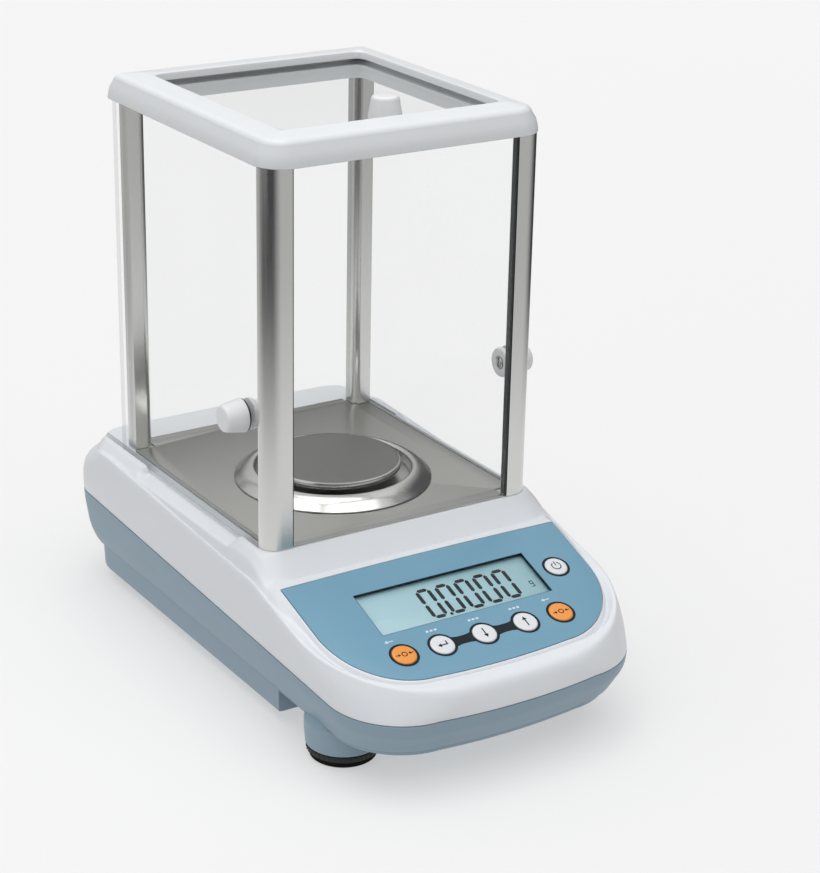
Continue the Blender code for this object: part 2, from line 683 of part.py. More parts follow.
lo, hi = [1e9] * 3, [-1e9] * 3
for ob in bpy.data.objects:
    for v in ob.data.vertices:
        v.co.y += SHIFT
        v.co *= MM
        for i in range(3):
            lo[i] = min(lo[i], v.co[i])
            hi[i] = max(hi[i], v.co[i])
    for p in ob.data.polygons:
        p.use_smooth = False
    ob.data.update()
print("bounds", [round(v, 5) for v in lo], [round(v, 5) for v in hi])
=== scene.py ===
"""Looks of the analytical balance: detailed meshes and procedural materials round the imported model.

Lengths are in millimetres. x is measured from the plane of symmetry, y from the front faces of the
front posts and z from the table; place() turns them into the row frame's metres.
"""
import math

import bmesh
import bpy
import numpy as np
from mathutils import Matrix, Vector


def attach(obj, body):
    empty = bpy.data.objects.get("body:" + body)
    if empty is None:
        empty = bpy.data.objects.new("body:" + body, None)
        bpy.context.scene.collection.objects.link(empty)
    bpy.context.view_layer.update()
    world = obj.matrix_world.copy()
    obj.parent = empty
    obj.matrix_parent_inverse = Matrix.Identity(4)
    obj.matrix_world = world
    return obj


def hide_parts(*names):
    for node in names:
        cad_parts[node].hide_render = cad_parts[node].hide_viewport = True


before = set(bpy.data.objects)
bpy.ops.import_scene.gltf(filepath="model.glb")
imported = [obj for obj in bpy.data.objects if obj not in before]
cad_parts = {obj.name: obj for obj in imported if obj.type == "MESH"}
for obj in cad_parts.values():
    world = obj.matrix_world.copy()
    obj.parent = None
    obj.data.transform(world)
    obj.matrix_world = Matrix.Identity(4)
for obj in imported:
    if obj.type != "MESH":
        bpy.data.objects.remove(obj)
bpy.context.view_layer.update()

DECK = 102.0                # top of the deck under the weighing chamber
BASE = DECK - 94.0          # underside of the lower housing
NOSE = DECK - 81.2          # underside of its raised front end
SHIFT = -61.9               # y of the origin of these lengths in the row frame
POST_TOP = DECK + 215.0
PAN_Y = 77.0                # middle of the pan, the ring and the hook's hole
LEVEL_Y = 203.0
KNOB_Y, KNOB_Z, TOP_KNOB_Y = 26.0, DECK + 73.0, 25.2
RISE = 0.343                # of the keypad, per millimetre of depth
PANEL_Z0 = DECK - 5.5       # keypad plane: z = PANEL_Z0 + RISE y
COS, SIN = math.cos(math.atan(RISE)), math.sin(math.atan(RISE))


# ---------------- shader nodes

def connect(nt, socket, value):
    """Links a socket to another node's output, or sets it to a number, a vector or a colour."""
    if isinstance(value, bpy.types.NodeSocket):
        nt.links.new(value, socket)
    elif socket.type == "RGBA":
        socket.default_value = (*value, 1)
    else:
        socket.default_value = value


def add(nt, kind, inputs=None, **properties):
    """Adds a node, sets its properties and connects its inputs."""
    node = nt.nodes.new(kind)
    for name, value in properties.items():
        setattr(node, name, value)
    for socket, value in (inputs or {}).items():
        connect(nt, node.inputs[socket], value)
    return node


def new_mat(name):
    m = bpy.data.materials.new(name)
    m.use_nodes = True
    return m, m.node_tree, m.node_tree.nodes["Principled BSDF"]


def coords(nt, scale=(1, 1, 1)):
    where = add(nt, "ShaderNodeTexCoord").outputs["Object"]
    return add(nt, "ShaderNodeMapping", {"Vector": where, "Scale": scale}).outputs["Vector"]


def ramp(nt, value, low, high, start=0.0, end=1.0):
    """Runs from low to high as the value goes from start to end."""
    values = {"Value": value, "From Min": start, "From Max": end, "To Min": low, "To Max": high}
    return add(nt, "ShaderNodeMapRange", values).outputs["Result"]


def maths(nt, operation, *values, kind="ShaderNodeMath", output=0):
    node = add(nt, kind, dict(enumerate(values)), operation=operation)
    return node.outputs[output]


def vector_maths(nt, operation, output, *values):
    return maths(nt, operation, *values, kind="ShaderNodeVectorMath", output=output)


def mix_colour(nt, factor, first, second):
    node = add(nt, "ShaderNodeMix", {"Factor": factor}, data_type="RGBA")
    ends = [s for s in node.inputs if s.type == "RGBA"]
    connect(nt, ends[0], first)
    connect(nt, ends[1], second)
    return next(s for s in node.outputs if s.type == "RGBA")


def mix_shaders(nt, factor, first, second):
    """Mixes two shaders into the material's surface."""
    mixer = add(nt, "ShaderNodeMixShader", {0: factor, 1: first.outputs[0], 2: second.outputs[0]})
    connect(nt, nt.nodes["Material Output"].inputs["Surface"], mixer.outputs[0])


def noise(nt, where, scale, detail=3.0, rough=0.5):
    values = {"Vector": where, "Scale": scale, "Detail": detail, "Roughness": rough}
    return add(nt, "ShaderNodeTexNoise", values).outputs["Fac"]


def bump(nt, shader, height, strength):
    grain_depth = 0.0002
    node = add(nt, "ShaderNodeBump", {"Strength": strength, "Distance": grain_depth, "Height": height})
    connect(nt, shader.inputs["Normal"], node.outputs["Normal"])


# ---------------- materials

def shaded(colour, amount):
    return tuple(x * (1 - amount) for x in colour)


def plastic(name, c, rough, vary, grain=0.05, spec=0.5, grain_scale=2200.0):
    """Moulded plastic: slight tone drift, fine eroded grain, uneven gloss."""
    m, nt, b = new_mat(name)
    v = coords(nt)
    connect(nt, b.inputs["Base Color"], mix_colour(nt, noise(nt, v, 14.0, 4.0), shaded(c, vary), c))
    gloss = ramp(nt, noise(nt, v, 60.0, 5.0), rough - 0.05, rough + 0.05)
    connect(nt, b.inputs["Roughness"], gloss)
    b.inputs["Specular IOR Level"].default_value = spec
    if grain:
        bump(nt, b, noise(nt, v, grain_scale, 2.0), grain)
    return m


def metal(name, c, rough, stretch, scale, depth, vary, rvar=0.06):
    """Metal with brushing stretched along one direction."""
    m, nt, b = new_mat(name)
    b.inputs["Metallic"].default_value = 1.0
    lines = noise(nt, coords(nt, stretch), scale, 4.0, 0.6)
    patches = noise(nt, coords(nt), 9.0, 3.0)
    connect(nt, b.inputs["Base Color"], mix_colour(nt, lines, shaded(c, vary), c))
    brushing = ramp(nt, lines, rough - rvar, rough + rvar)
    connect(nt, b.inputs["Roughness"], maths(nt, "ADD", brushing, ramp(nt, patches, -0.03, 0.03)))
    bump(nt, b, lines, depth)
    return m


def clear_mat(name, tint, rough, low, high):
    """Clear sheet: lets light straight through, mirrors more at a glancing angle."""
    m, nt, b = new_mat(name)
    nt.nodes.remove(b)
    v = coords(nt)
    colour = mix_colour(nt, noise(nt, v, 8.0), shaded(tint, 0.015), tint)
    clear = add(nt, "ShaderNodeBsdfTransparent", {"Color": colour})
    gloss = ramp(nt, noise(nt, v, 25.0, 5.0), rough, rough + 0.03)
    shine = add(nt, "ShaderNodeBsdfGlossy", {"Roughness": gloss})
    glancing = maths(nt, "POWER", add(nt, "ShaderNodeLayerWeight").outputs["Facing"], 4.0)
    mix_shaders(nt, ramp(nt, glancing, low, high), clear, shine)
    return m


def glass_mat(name, tint, alpha, rough):
    """Tinted glass or liquid, see-through by its alpha."""
    m, nt, b = new_mat(name)
    v = coords(nt)
    connect(nt, b.inputs["Base Color"], mix_colour(nt, noise(nt, v, 8.0), shaded(tint, 0.03), tint))
    connect(nt, b.inputs["Roughness"], ramp(nt, noise(nt, v, 25.0, 5.0), rough, rough + 0.03))
    b.inputs["Alpha"].default_value = alpha
    b.inputs["IOR"].default_value = 1.5
    return m


def lcd_material():
    """Display glass: pale grey-blue, a little lighter towards the left."""
    m, nt, b = new_mat("lcd_glass")
    v = coords(nt)
    across = add(nt, "ShaderNodeSeparateXYZ", {0: v}).outputs["X"]
    side = ramp(nt, across, 0.0, 1.0, -0.058, 0.060)
    connect(nt, b.inputs["Base Color"], mix_colour(nt, side, (0.43, 0.635, 0.70), (0.36, 0.55, 0.61)))
    connect(nt, b.inputs["Roughness"], ramp(nt, noise(nt, v, 40.0), 0.25, 0.35))
    return m


ANY_WAY, ACROSS, UPWARD = (1, 1, 1), (0.03, 1, 1), (1, 1, 0.015)      # how the brushing runs

M = {
    "light": plastic("plastic_light", (0.715, 0.735, 0.765), 0.36, 0.03, 0.10),
    "frame": plastic("plastic_frame", (0.76, 0.78, 0.80), 0.33, 0.03, 0.08),
    "blue": plastic("plastic_blue_grey", (0.235, 0.325, 0.395), 0.42, 0.05, 0.12),
    "film": plastic("overlay_film", (0.150, 0.320, 0.440), 0.30, 0.03, 0.05, 0.5, 3500.0),
    "white": plastic("plastic_white", (0.78, 0.79, 0.80), 0.30, 0.02),
    "key_white": plastic("key_white", (0.70, 0.715, 0.735), 0.28, 0.02, 0.03),
    "key_orange": plastic("key_orange", (0.82, 0.30, 0.055), 0.30, 0.04, 0.03),
    "ink": plastic("ink_black", (0.006, 0.013, 0.017), 0.45, 0.10, 0.02, 0.2),
    "ink_white": plastic("ink_white", (0.62, 0.72, 0.80), 0.4, 0.04, 0.0),
    "black": plastic("plastic_black", (0.014, 0.014, 0.015), 0.45, 0.15, 0.20, 0.4),
    "rubber": plastic("rubber_black", (0.006, 0.006, 0.006), 0.75, 0.2, 0.30, 0.1, 1500.0),
    "seal": plastic("seal_black", (0.030, 0.032, 0.032), 0.40, 0.15, 0.10),
    "rail": plastic("rail_plastic", (0.26, 0.27, 0.275), 0.35, 0.05),
    "board": plastic("circuit_board", (0.02, 0.12, 0.05), 0.35, 0.25, 0.10),
    "steel": metal("stainless_brushed", (0.53, 0.527, 0.505), 0.31, ACROSS, 1400.0, 0.06, 0.10),
    "pan": metal("pan_blasted", (0.285, 0.285, 0.276), 0.42, ANY_WAY, 2600.0, 0.10, 0.12),
    "polished": metal("steel_polished", (0.66, 0.655, 0.64), 0.20, (1, 1, 0.1), 500.0, 0.01, 0.05, 0.03),
    "alu": metal("aluminium_satin", (0.76, 0.76, 0.74), 0.21, UPWARD, 1600.0, 0.05, 0.08),
    "cast": metal("aluminium_cast", (0.50, 0.50, 0.50), 0.5, ANY_WAY, 700.0, 0.25, 0.15),
    "screw": metal("screw_steel", (0.55, 0.55, 0.54), 0.25, ANY_WAY, 1200.0, 0.05, 0.10),
    "gold": metal("contact_gold", (0.80, 0.55, 0.20), 0.25, ANY_WAY, 1200.0, 0.03, 0.08),
    "glass": clear_mat("glass_clear", (0.998, 1.0, 0.999), 0.02, 0.005, 0.16),
    "window": clear_mat("window_clear", (0.98, 0.99, 0.99), 0.03, 0.015, 0.30),
    "glass_edge": glass_mat("glass_edge", (0.26, 0.31, 0.305), 0.20, 0.08),
    "liquid": glass_mat("level_liquid", (0.16, 0.20, 0.10), 0.85, 0.04),
    "bubble": glass_mat("level_bubble", (0.50, 0.58, 0.38), 0.85, 0.04),
    "lcd": lcd_material(),
}


# ---------------- outlines

def arc(cx, cy, r, start, end, n):
    """Points along an arc, from one angle in degrees to another."""
    angles = [math.radians(start + (end - start) * i / n) for i in range(n + 1)]
    return [(cx + r * math.cos(a), cy + r * math.sin(a)) for a in angles]


def soften(rows, radii, m):
    """Rounds a closed run of points, or of rings point by point, where it has a radius."""
    out = []
    for i, (corner, r) in enumerate(zip(rows, radii)):
        if r <= 0:
            out.append(corner)
            continue
        arms = [rows[i - 1] - corner, rows[(i + 1) % len(rows)] - corner]
        lengths = [np.maximum(np.linalg.norm(arm, axis=-1, keepdims=True), 1e-6) for arm in arms]
        start, end = (corner + a / n * np.minimum(r, 0.48 * n) for a, n in zip(arms, lengths))
        for t in (k / m for k in range(m + 1)):
            out.append(start * (1 - t) ** 2 + corner * 2 * t * (1 - t) + end * t * t)
    return out


def rounded(points, radii, m=5):
    """Rounds the corners of a closed outline."""
    return [(float(x), float(y)) for x, y in soften(np.array(points, float), radii, m)]


def rectangle(x0, x1, y0, y1):
    return [(x0, y0), (x1, y0), (x1, y1), (x0, y1)]


def moved(points, dx, dy):
    return [(dx + x, dy + y) for x, y in points]


def mirrored(half):
    """Closes an outline given for x >= 0 with its mirror image."""
    return half + [(-x, y) for x, y in half[1:-1]][::-1]


def rod(r, low, high):
    """Profile of a plain cylinder."""
    return [(0, low), (r, low), (r, high), (0, high)]


# ---------------- meshes

def raw(verts, faces, triangles=False):
    bm = bmesh.new()
    vs = [bm.verts.new(v) for v in verts]
    for f in faces:
        ids = [i for k, i in enumerate(f) if i != f[k - 1]]
        if len(set(ids)) >= 3:
            try:
                bm.faces.new([vs[i] for i in ids])
            except ValueError:      # the face is there already
                pass
    bmesh.ops.remove_doubles(bm, verts=bm.verts, dist=1e-5)
    if triangles:
        bmesh.ops.triangulate(bm, faces=bm.faces)
    bmesh.ops.recalc_face_normals(bm, faces=bm.faces)
    return bm


def strips(count, n):
    """Faces between neighbouring levels of n points each."""
    return [(j * n + i, j * n + (i + 1) % n, (j + 1) * n + (i + 1) % n, (j + 1) * n + i)
            for j in range(count - 1) for i in range(n)]


def stack_bm(levels):
    """Closed body through levels with the same number of points, filled at both ends."""
    n, last = len(levels[0]), len(levels) - 1
    ends = [tuple(range(n))[::-1], tuple(last * n + i for i in range(n))]
    return raw([p for level in levels for p in level], strips(last + 1, n) + ends)


TURNS = {"z": lambda x, y, z: (x, y, z), "x": lambda x, y, z: (z, x, y),
         "-x": lambda x, y, z: (-z, -x, y), "y": lambda x, y, z: (y, z, x)}


def lathe_bm(profile, centre, axis="z", segs=96):
    """Turns a closed profile of radii and heights round an axis through centre."""
    verts, rows = [], []
    for r, h in profile:
        start = len(verts)
        if r < 1e-6:
            verts.append((0.0, 0.0, h))
            rows.append([start] * segs)
        else:
            turn = [2 * math.pi * k / segs for k in range(segs)]
            verts += [(r * math.cos(a), r * math.sin(a), h) for a in turn]
            rows.append(list(range(start, start + segs)))
    faces = []
    for a, b in zip(rows, rows[1:] + rows[:1]):
        if a[0] != a[-1] or b[0] != b[-1]:
            faces += [(a[k - 1], a[k], b[k], b[k - 1]) for k in range(segs)]
    verts = [tuple(p + c for p, c in zip(TURNS[axis](*v), centre)) for v in verts]
    return raw(verts, faces)


def insets(outline):
    """Unit steps inward from the points of a closed outline."""
    pts = np.array(outline, float)
    d1 = pts - np.roll(pts, 1, 0)
    d2 = np.roll(pts, -1, 0) - pts
    d1 /= np.maximum(np.hypot(d1[:, 0], d1[:, 1])[:, None], 1e-9)
    d2 /= np.maximum(np.hypot(d2[:, 0], d2[:, 1])[:, None], 1e-9)
    normal = np.c_[-(d1[:, 1] + d2[:, 1]), d1[:, 0] + d2[:, 0]]
    normal /= np.maximum((normal ** 2).sum(1) ** 0.5, 1e-9)[:, None]
    lean = np.clip((normal * np.c_[-d1[:, 1], d1[:, 0]]).sum(1), 0.35, 1)
    x, y = pts[:, 0], pts[:, 1]
    turn = np.sum(x * np.roll(y, -1) - np.roll(x, -1) * y)
    return normal / lean[:, None] * (1 if turn > 0 else -1)


def prism_bm(outline, z0, z1, edge=0.0):
    """Extrudes an outline, with its top and bottom edges rounded by an inset of edge."""
    pts = np.array(outline, float)
    if not edge:
        return stack_bm([[(x, y, z) for x, y in pts] for z in (z0, z1)])
    inward = insets(outline)
    quarter = np.linspace(0, math.pi / 2, 4)
    steps = [(edge * (1 - math.sin(a)), z0 + edge * (1 - math.cos(a))) for a in quarter]
    steps += [(step, z0 + z1 - z) for step, z in steps[::-1]]
    return stack_bm([[(x, y, z) for x, y in pts + inward * step] for step, z in steps])


def box_bm(x0, x1, y0, y1, z0, z1, bevel=0.0, segments=2):
    bm = bmesh.new()
    bmesh.ops.create_cube(bm, size=1.0)
    for v in bm.verts:
        v.co = (x0 if v.co.x < 0 else x1, y0 if v.co.y < 0 else y1, z0 if v.co.z < 0 else z1)
    if bevel:
        bmesh.ops.bevel(bm, geom=list(bm.edges), offset=bevel, segments=segments,
                        affect="EDGES", profile=0.5)
    return bm


def up(y):
    """Distance up the keypad's slope of a point whose plan position is y."""
    return y / COS


def tilt_bm(bm):
    """(across, up the slope, out of it) to the keypad plane."""
    for v in bm.verts:
        x, u, n = v.co
        v.co = (x, u * COS - n * SIN, PANEL_Z0 + u * SIN + n * COS)
    return bm


def flat(outline, n0, n1):
    return tilt_bm(prism_bm(outline, n0, n1))


def linked(name, data):
    """New object in the scene."""
    ob = bpy.data.objects.new(name, data)
    bpy.context.scene.collection.objects.link(ob)
    return ob


def object_of(bm, name):
    bmesh.ops.recalc_face_normals(bm, faces=bm.faces)
    me = bpy.data.meshes.new(name)
    bm.to_mesh(me)
    bm.free()
    return linked(name, me)


def cut_bm(bm, cutters, mode="DIFFERENCE"):
    """Boolean of bmeshes, in millimetres."""
    target = object_of(bm, "target")
    for cutter in cutters:
        cutter = object_of(cutter, "cutter")
        mod = target.modifiers.new("cut", "BOOLEAN")
        mod.operation, mod.solver, mod.object = mode, "EXACT", cutter
        bpy.context.view_layer.update()
        result = target.evaluated_get(bpy.context.evaluated_depsgraph_get())
        me = bpy.data.meshes.new_from_object(result)
        target.modifiers.remove(mod)
        target.data = me
        bpy.data.objects.remove(cutter, do_unlink=True)
    out = bmesh.new()
    out.from_mesh(target.data)
    bmesh.ops.remove_doubles(out, verts=out.verts, dist=1e-4)
    bpy.data.objects.remove(target, do_unlink=True)
    return out


def join_bm(parts):
    out = bmesh.new()
    for p in parts:
        me = bpy.data.meshes.new("part")
        p.to_mesh(me)
        p.free()
        out.from_mesh(me)
        bpy.data.meshes.remove(me)
    return out


def place(p):
    return (p[0] * 0.001, (p[1] + SHIFT) * 0.001, p[2] * 0.001)


def piece(bm, name, mat, node=None, body="base", angle=35.0):
    """Finishes a visible piece; node is the CAD node that it stands in for, where there is one."""
    ob = object_of(bm, name)
    me = ob.data
    for v in me.vertices:
        v.co = place(v.co)
    me.materials.append(M[mat])
    me.polygons.foreach_set("use_smooth", [True] * len(me.polygons))
    me.set_sharp_from_angle(angle=math.radians(angle))
    me.update()
    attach(ob, body)
    if node:
        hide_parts(node)
    return ob


# ---------------- where things are

LCD = (-55.0, 57.0, up(-67.6), up(-36.4))       # the display's opening: across, then up the slope
KEYS = {                                        # across, up the slope, radius, material
    "tare_left": (-51.3, up(-83.4), 6.9, "key_orange"),
    "enter": (-27.2, up(-83.7), 6.9, "key_white"),
    "down": (0.1, up(-83.7), 6.9, "key_white"),
    "up": (27.3, up(-83.6), 6.9, "key_white"),
    "tare_right": (51.3, up(-83.5), 6.9, "key_orange"),
    "power": (70.2, up(-52.3), 6.6, "key_white"),
}
MIDDLE_KEYS = ("enter", "down", "up")
SIDES = ((-1, "left"), (1, "right"))
FEET = {                                        # x, y, radius, height of the housing's floor there
    end + "_" + hand: (side * x, y, r, floor_z)
    for end, x, y, r, floor_z in (("front", 70.0, -52.5, 20.5, NOSE + 6.2),
                                  ("rear", 56.0, 202.0, 17.0, BASE + 3.2))
    for side, hand in SIDES
}
SCREWS = {"case_screw_%s_%s" % (end, hand): (side * 76.0, y)
          for end, y in (("front", 14.0), ("rear", 176.0)) for side, hand in SIDES}
JACK = (50.0, 245.0, DECK - 30.0)               # mouth of the power inlet


def between(side, a, b):
    """Range of x on one side of the plane of symmetry."""
    return sorted((side * a, side * b))


def lcd_box(margin, n0, n1, bevel=0.0):
    """Box over the display's opening and a margin round it."""
    x0, x1, v0, v1 = LCD
    return tilt_bm(box_bm(x0 - margin, x1 + margin, v0 - margin, v1 + margin, n0, n1, bevel))


def key_hole(key):
    x, v, r, _ = KEYS[key]
    return tilt_bm(lathe_bm(rod(r + 0.3, -5, 5), (x, v, 0)))


def front_half(w, yf, bow, rf, steps, n):
    """Right half of a bowed front of half width w, with its rounded corner."""
    xc = w - rf
    front = [(xc * f, yf + bow * (xc * f) ** 2) for f in steps]
    return front + arc(xc, yf + bow * xc * xc + rf, rf, -90, 0, n)


def panel_outline(inset):
    """Outline of the keypad's recess, on the slope."""
    w, top = 90.0 - inset, -19.6 - inset
    half = front_half(w, -104.3 + inset, 0.00097, 47.0 - inset, (0.0, 0.2, 0.4, 0.6, 0.8), 28)
    half.append((w + 0.8, top))
    half += [(w * f, top + 1.2 * (1 - f * f)) for f in (0.85, 0.7, 0.5, 0.3, 0.15, 0.0)]
    return [(x, up(y)) for x, y in mirrored(half)]


# ---------------- housings

# y of the points along the straight sides, closer together where the height changes
SIDE = [-36, -32, -28, -25, -22, -20, -18.3, -17, -15.5, -14, -13, -12, -11, -9.5, -8, -6.5, -5, -3.5,
        -2, -1, 0.5, 2, 4, 6, 8, 11, 14, 18, 23, *range(28, 34), 36, *range(42, 133, 10), 140,
        *range(143, 149), 152, 158, 164, 170, 175, 180]
LOW_SIDE = [-36, -30, -24, -18.3, -13, -10, -8.9, -8.3, -6, 0, 8, 18, 28, 42, 62, 82, 102, 122, 143,
            155, 168, 180]
BLOCK_W, FOOT_W, VALLEY_W = 90.5, 95.0, 97.2    # half widths of the raised block, its foot and the groove
PANEL_END = -18.5                               # y where the keypad's slope ends
STEP_Y = -8.6                                   # the underside is raised in front of this


def half_outline(w, yf, bow, rf, yb, rb, side=SIDE):
    """Right half of a housing's outline: bowed front, rounded corner, side, rounded corner, back."""
    pts = front_half(w, yf, bow, rf, (0.0, 0.14, 0.28, 0.42, 0.56, 0.7, 0.85), 18)
    pts += [(w, float(y)) for y in side]
    pts += arc(w - rb, yb - rb, rb, 0, 90, 8)
    pts += [((w - rb) * f, yb + 0.5 * (1 - f * f)) for f in (0.75, 0.5, 0.25, 0.0)]
    return pts


def loft_bm(levels):
    """Closed body from half outlines, each with its height at (x, y) and its rounding radius.

    The first and the last are filled across the plane of symmetry.
    """
    rings = [np.array([(x, y, height(x, y)) for x, y in half], float) for half, height, _ in levels]
    rings = soften(rings, [r for _, _, r in levels], 4)
    nh = len(rings[0])
    n = 2 * nh - 2
    verts = []
    for ring in rings:
        verts += [tuple(p) for p in ring] + [(-p[0], p[1], p[2]) for p in ring[1:-1]][::-1]
    faces = strips(len(rings), n)
    for start in (0, (len(rings) - 1) * n):
        faces += [(start + i, start + i + 1, start + (n - i - 1) % n, start + (n - i) % n)
                  for i in range(nh - 1)]
    return raw(verts, faces, True)


def smooth(t):
    t = min(1.0, max(0.0, t))
    return t * t * (3 - 2 * t)


def apron(x, y):
    """Height below the deck of the sloping apron in front of the posts, which turns round the corners."""
    r, cx, cy, length, fall = 12.0, 79.0, 11.0, 12.0, 11.9
    at_corner = abs(x) > cx and y < cy
    d = math.hypot(abs(x) - cx, cy - y) - r if at_corner else -1.0 - y
    return fall * max(0.0, min(1.0, d / length))


def z_top(x, y):
    return PANEL_Z0 + RISE * y if y <= PANEL_END else DECK - apron(x, y)


def z_crest(y):
    """Height of the shoulder outside the groove."""
    a, b = DECK - 13 + 0.05 * y, DECK - 13 + 0.249 * y
    return b + (a - b) * smooth((y + 12) / 20.0)


def z_part(y):
    """Height of the line where the two housings meet."""
    return DECK - 52.6 + 0.043 * y


def ledge(y):
    """0 on the full-width deck, 1 on the lowered ledge beside the doors."""
    return smooth((y - 28) / 5.0) * (1 - smooth((y - 143) / 5.0))


def narrow(y):
    """1 beside the keypad, where the groove hugs the block; 0 beside the weighing chamber."""
    return 1.0 - smooth((y + 60.0) / 42.0)


def drop(y):
    """The shoulder falls away round the rear corners."""
    return 8.0 * smooth((y - 178.0) / 45.0)


def on_side(x, w):
    return abs(x - w) < 1e-6


def block_half(w):
    d = BLOCK_W - w
    return half_outline(w, -104.9 + 0.95 * d, 0.00097, 47.0 - d, 213.5 - 0.9 * d, 20.0 - 0.9 * d)


def edge_half():
    """The block's edge, drawn in beside the doors."""
    return [(x - 4.1 * ledge(y) if on_side(x, BLOCK_W) else x, y) for x, y in block_half(BLOCK_W)]


def foot_half():
    out = []
    for x, y in half_outline(FOOT_W, -106.9, 0.00095, 49.5, 215.5, 23.0):
        out_here = ledge(y) if on_side(x, FOOT_W) else 0.0
        out.append((x - 3.2 * narrow(y) * x / FOOT_W + out_here, y))
    return out


def valley_half():
    half = half_outline(VALLEY_W, -109.4, 0.0009, 52.0, 219.5, 30.0)
    return [(x - 1.9 * narrow(y) * x / VALLEY_W, y) for x, y in half]


def z_edge(x, y):
    return z_top(x, y) - 5.0 * ledge(y) * (1 if 86 < abs(x) < 90.6 else 0)


def z_foot(x, y):
    if y > 11:
        return DECK - 4.6 - 0.8 * ledge(y)
    if y > PANEL_END:
        t = smooth((y - PANEL_END) / 29.5)
        return (DECK - 4.6) * t + (z_top(0, PANEL_END) - 3.4) * (1 - t)
    return z_top(x, y) - 3.4


def shoulder(rise):
    return lambda x, y: z_crest(y) + rise - drop(y)


def upper_shell():
    """Upper housing from the deck outwards over the groove and the shoulder, and back inside."""
    return loft_bm([(block_half(w), z_top, 0.0) for w in (74.0, 77.0, 80.0, 83.0, 86.0)] + [
        (edge_half(), z_edge, 1.3),
        (foot_half(), z_foot, 1.3),
        (valley_half(), lambda x, y: z_crest(y) - 0.9 + narrow(y) - 0.8 * drop(y), 1.0),
        (half_outline(98.4, -117.6, 0.0008, 66.0, 223.0, 37.0), shoulder(0.5), 3.0),
        (half_outline(99.3, -120.4, 0.00076, 69.0, 230.0, 44.0), shoulder(-2.2), 5.0),
        (half_outline(99.1, -121.9, 0.0009, 64.0, 238.5, 38.0), shoulder(-7.5), 8.0),
        (half_outline(97.0, -122.5, 0.0012, 54.0, 244.4, 33.0),
         lambda x, y: 0.45 * (z_crest(y) - 7.5) + 0.55 * z_part(y), 14.0),
        (half_outline(93.6, -122.6, 0.00158, 42.0, 245.0, 25.0), lambda x, y: z_part(y) + 0.2, 0.8),
        (half_outline(90.9, -119.8, 0.00158, 39.5, 242.2, 23.0), lambda x, y: z_part(y) + 0.2, 0.0),
        (half_outline(95.2, -115.0, 0.0009, 60.0, 225.0, 40.0), shoulder(-6.2), 0.0),
        (half_outline(83.0, -98.5, 0.00097, 40.0, 207.0, 11.0),
         lambda x, y: min(z_top(74, y) - 3.4, DECK - 8.6), 0.0),
    ])


def upper_housing():
    """Shell with the door channels, the pan's hole, the keypad's recess and the openings at the back."""
    cuts = [box_bm(*between(side, 84.1, 87.8), 9.8, 262.0, DECK - 4.0, DECK + 6) for side in (-1, 1)]
    cuts += [
        lathe_bm(rod(12, -30, 10), (0, PAN_Y, DECK)),
        tilt_bm(prism_bm(panel_outline(0.0), -1.1, 3.0)),
        lcd_box(1.0, -12, 5),
        lathe_bm(rod(8.3, -6.2, 6), (0, LEVEL_Y, DECK)),
        box_bm(-62.4, -31.6, 230.0, 250.0, DECK - 36.2, DECK - 23.8),
        lathe_bm(rod(5.6, -12, 8), JACK, "y"),
    ]
    bm = cut_bm(upper_shell(), cuts)
    piece(bm, "housing_top", "light", "upper_housing", angle=38.0)


def lower_shell():
    """Lower housing from the parting line down to the underside."""
    def floor(y):
        return BASE if y > STEP_Y else NOSE

    levels = (
        (90.9, -119.8, 39.5, 242.2, 23.0, lambda x, y: z_part(y) - 0.2, 0.0),
        (93.6, -122.6, 42.0, 245.0, 25.0, lambda x, y: z_part(y) - 0.2, 0.6),
        (93.3, -121.9, 42.0, 244.8, 25.0, lambda x, y: z_part(y) - 7.0, 4.0),
        (91.4, -119.2, 42.0, 243.0, 26.0, lambda x, y: min(z_part(y) - 12.0, DECK - 68.0), 5.0),
        (88.2, -115.6, 41.0, 239.6, 27.0, lambda x, y: DECK - 76.5, 1.2),
        (86.0, -113.2, 41.0, 237.4, 28.0, lambda x, y: DECK - (76.9 if y > STEP_Y else 77.9), 0.5),
        (85.4, -112.6, 40.6, 236.8, 28.0, lambda x, y: floor(y) + 0.4, 1.0),
        (82.8, -110.0, 40.0, 234.2, 27.0, lambda x, y: floor(y), 0.0),
    )
    return loft_bm([(half_outline(w, yf, 0.00158, rf, yb, rb, LOW_SIDE), height, r)
                    for w, yf, rf, yb, rb, height, r in levels])


def lower_housing():
    """Shell with the bosses of the front feet, the holes of the underside and the vents."""
    boss = [(0, 0), (20.4, 0), (20.9, 0.5), (21.6, 9.0), (21.6, 15.0), (18.5, 19.0), (0, 19.0)]
    boss = rounded(boss, [0, 0.2, 0.3, 1.0, 1.0, 0, 0])
    bosses = [lathe_bm(boss, (*FEET[foot][:2], BASE)) for foot in ("front_left", "front_right")]
    bm = cut_bm(lower_shell(), bosses, "UNION")
    cuts = [lathe_bm(rod(3.3, -4, floor_z - BASE + 6), (x, y, BASE), segs=32)
            for x, y, _, floor_z in FEET.values()]
    cuts.append(lathe_bm(rod(12.3, -3, 4), (0, PAN_Y, BASE)))
    cuts += [lathe_bm(rod(4.4, -4, 1.4), (x, y, BASE), segs=32) for x, y in SCREWS.values()]
    for k in range(7):
        y0 = 110.0 + 9.0 * k
        vent = rounded(rectangle(-60, -28, y0, y0 + 3), [1.4] * 4)
        cuts.append(prism_bm(vent, BASE - 5.0, BASE + 1.2))
    bm = cut_bm(bm, cuts)
    piece(bm, "housing_bottom", "blue", "lower_housing", angle=38.0)


# ---------------- keypad

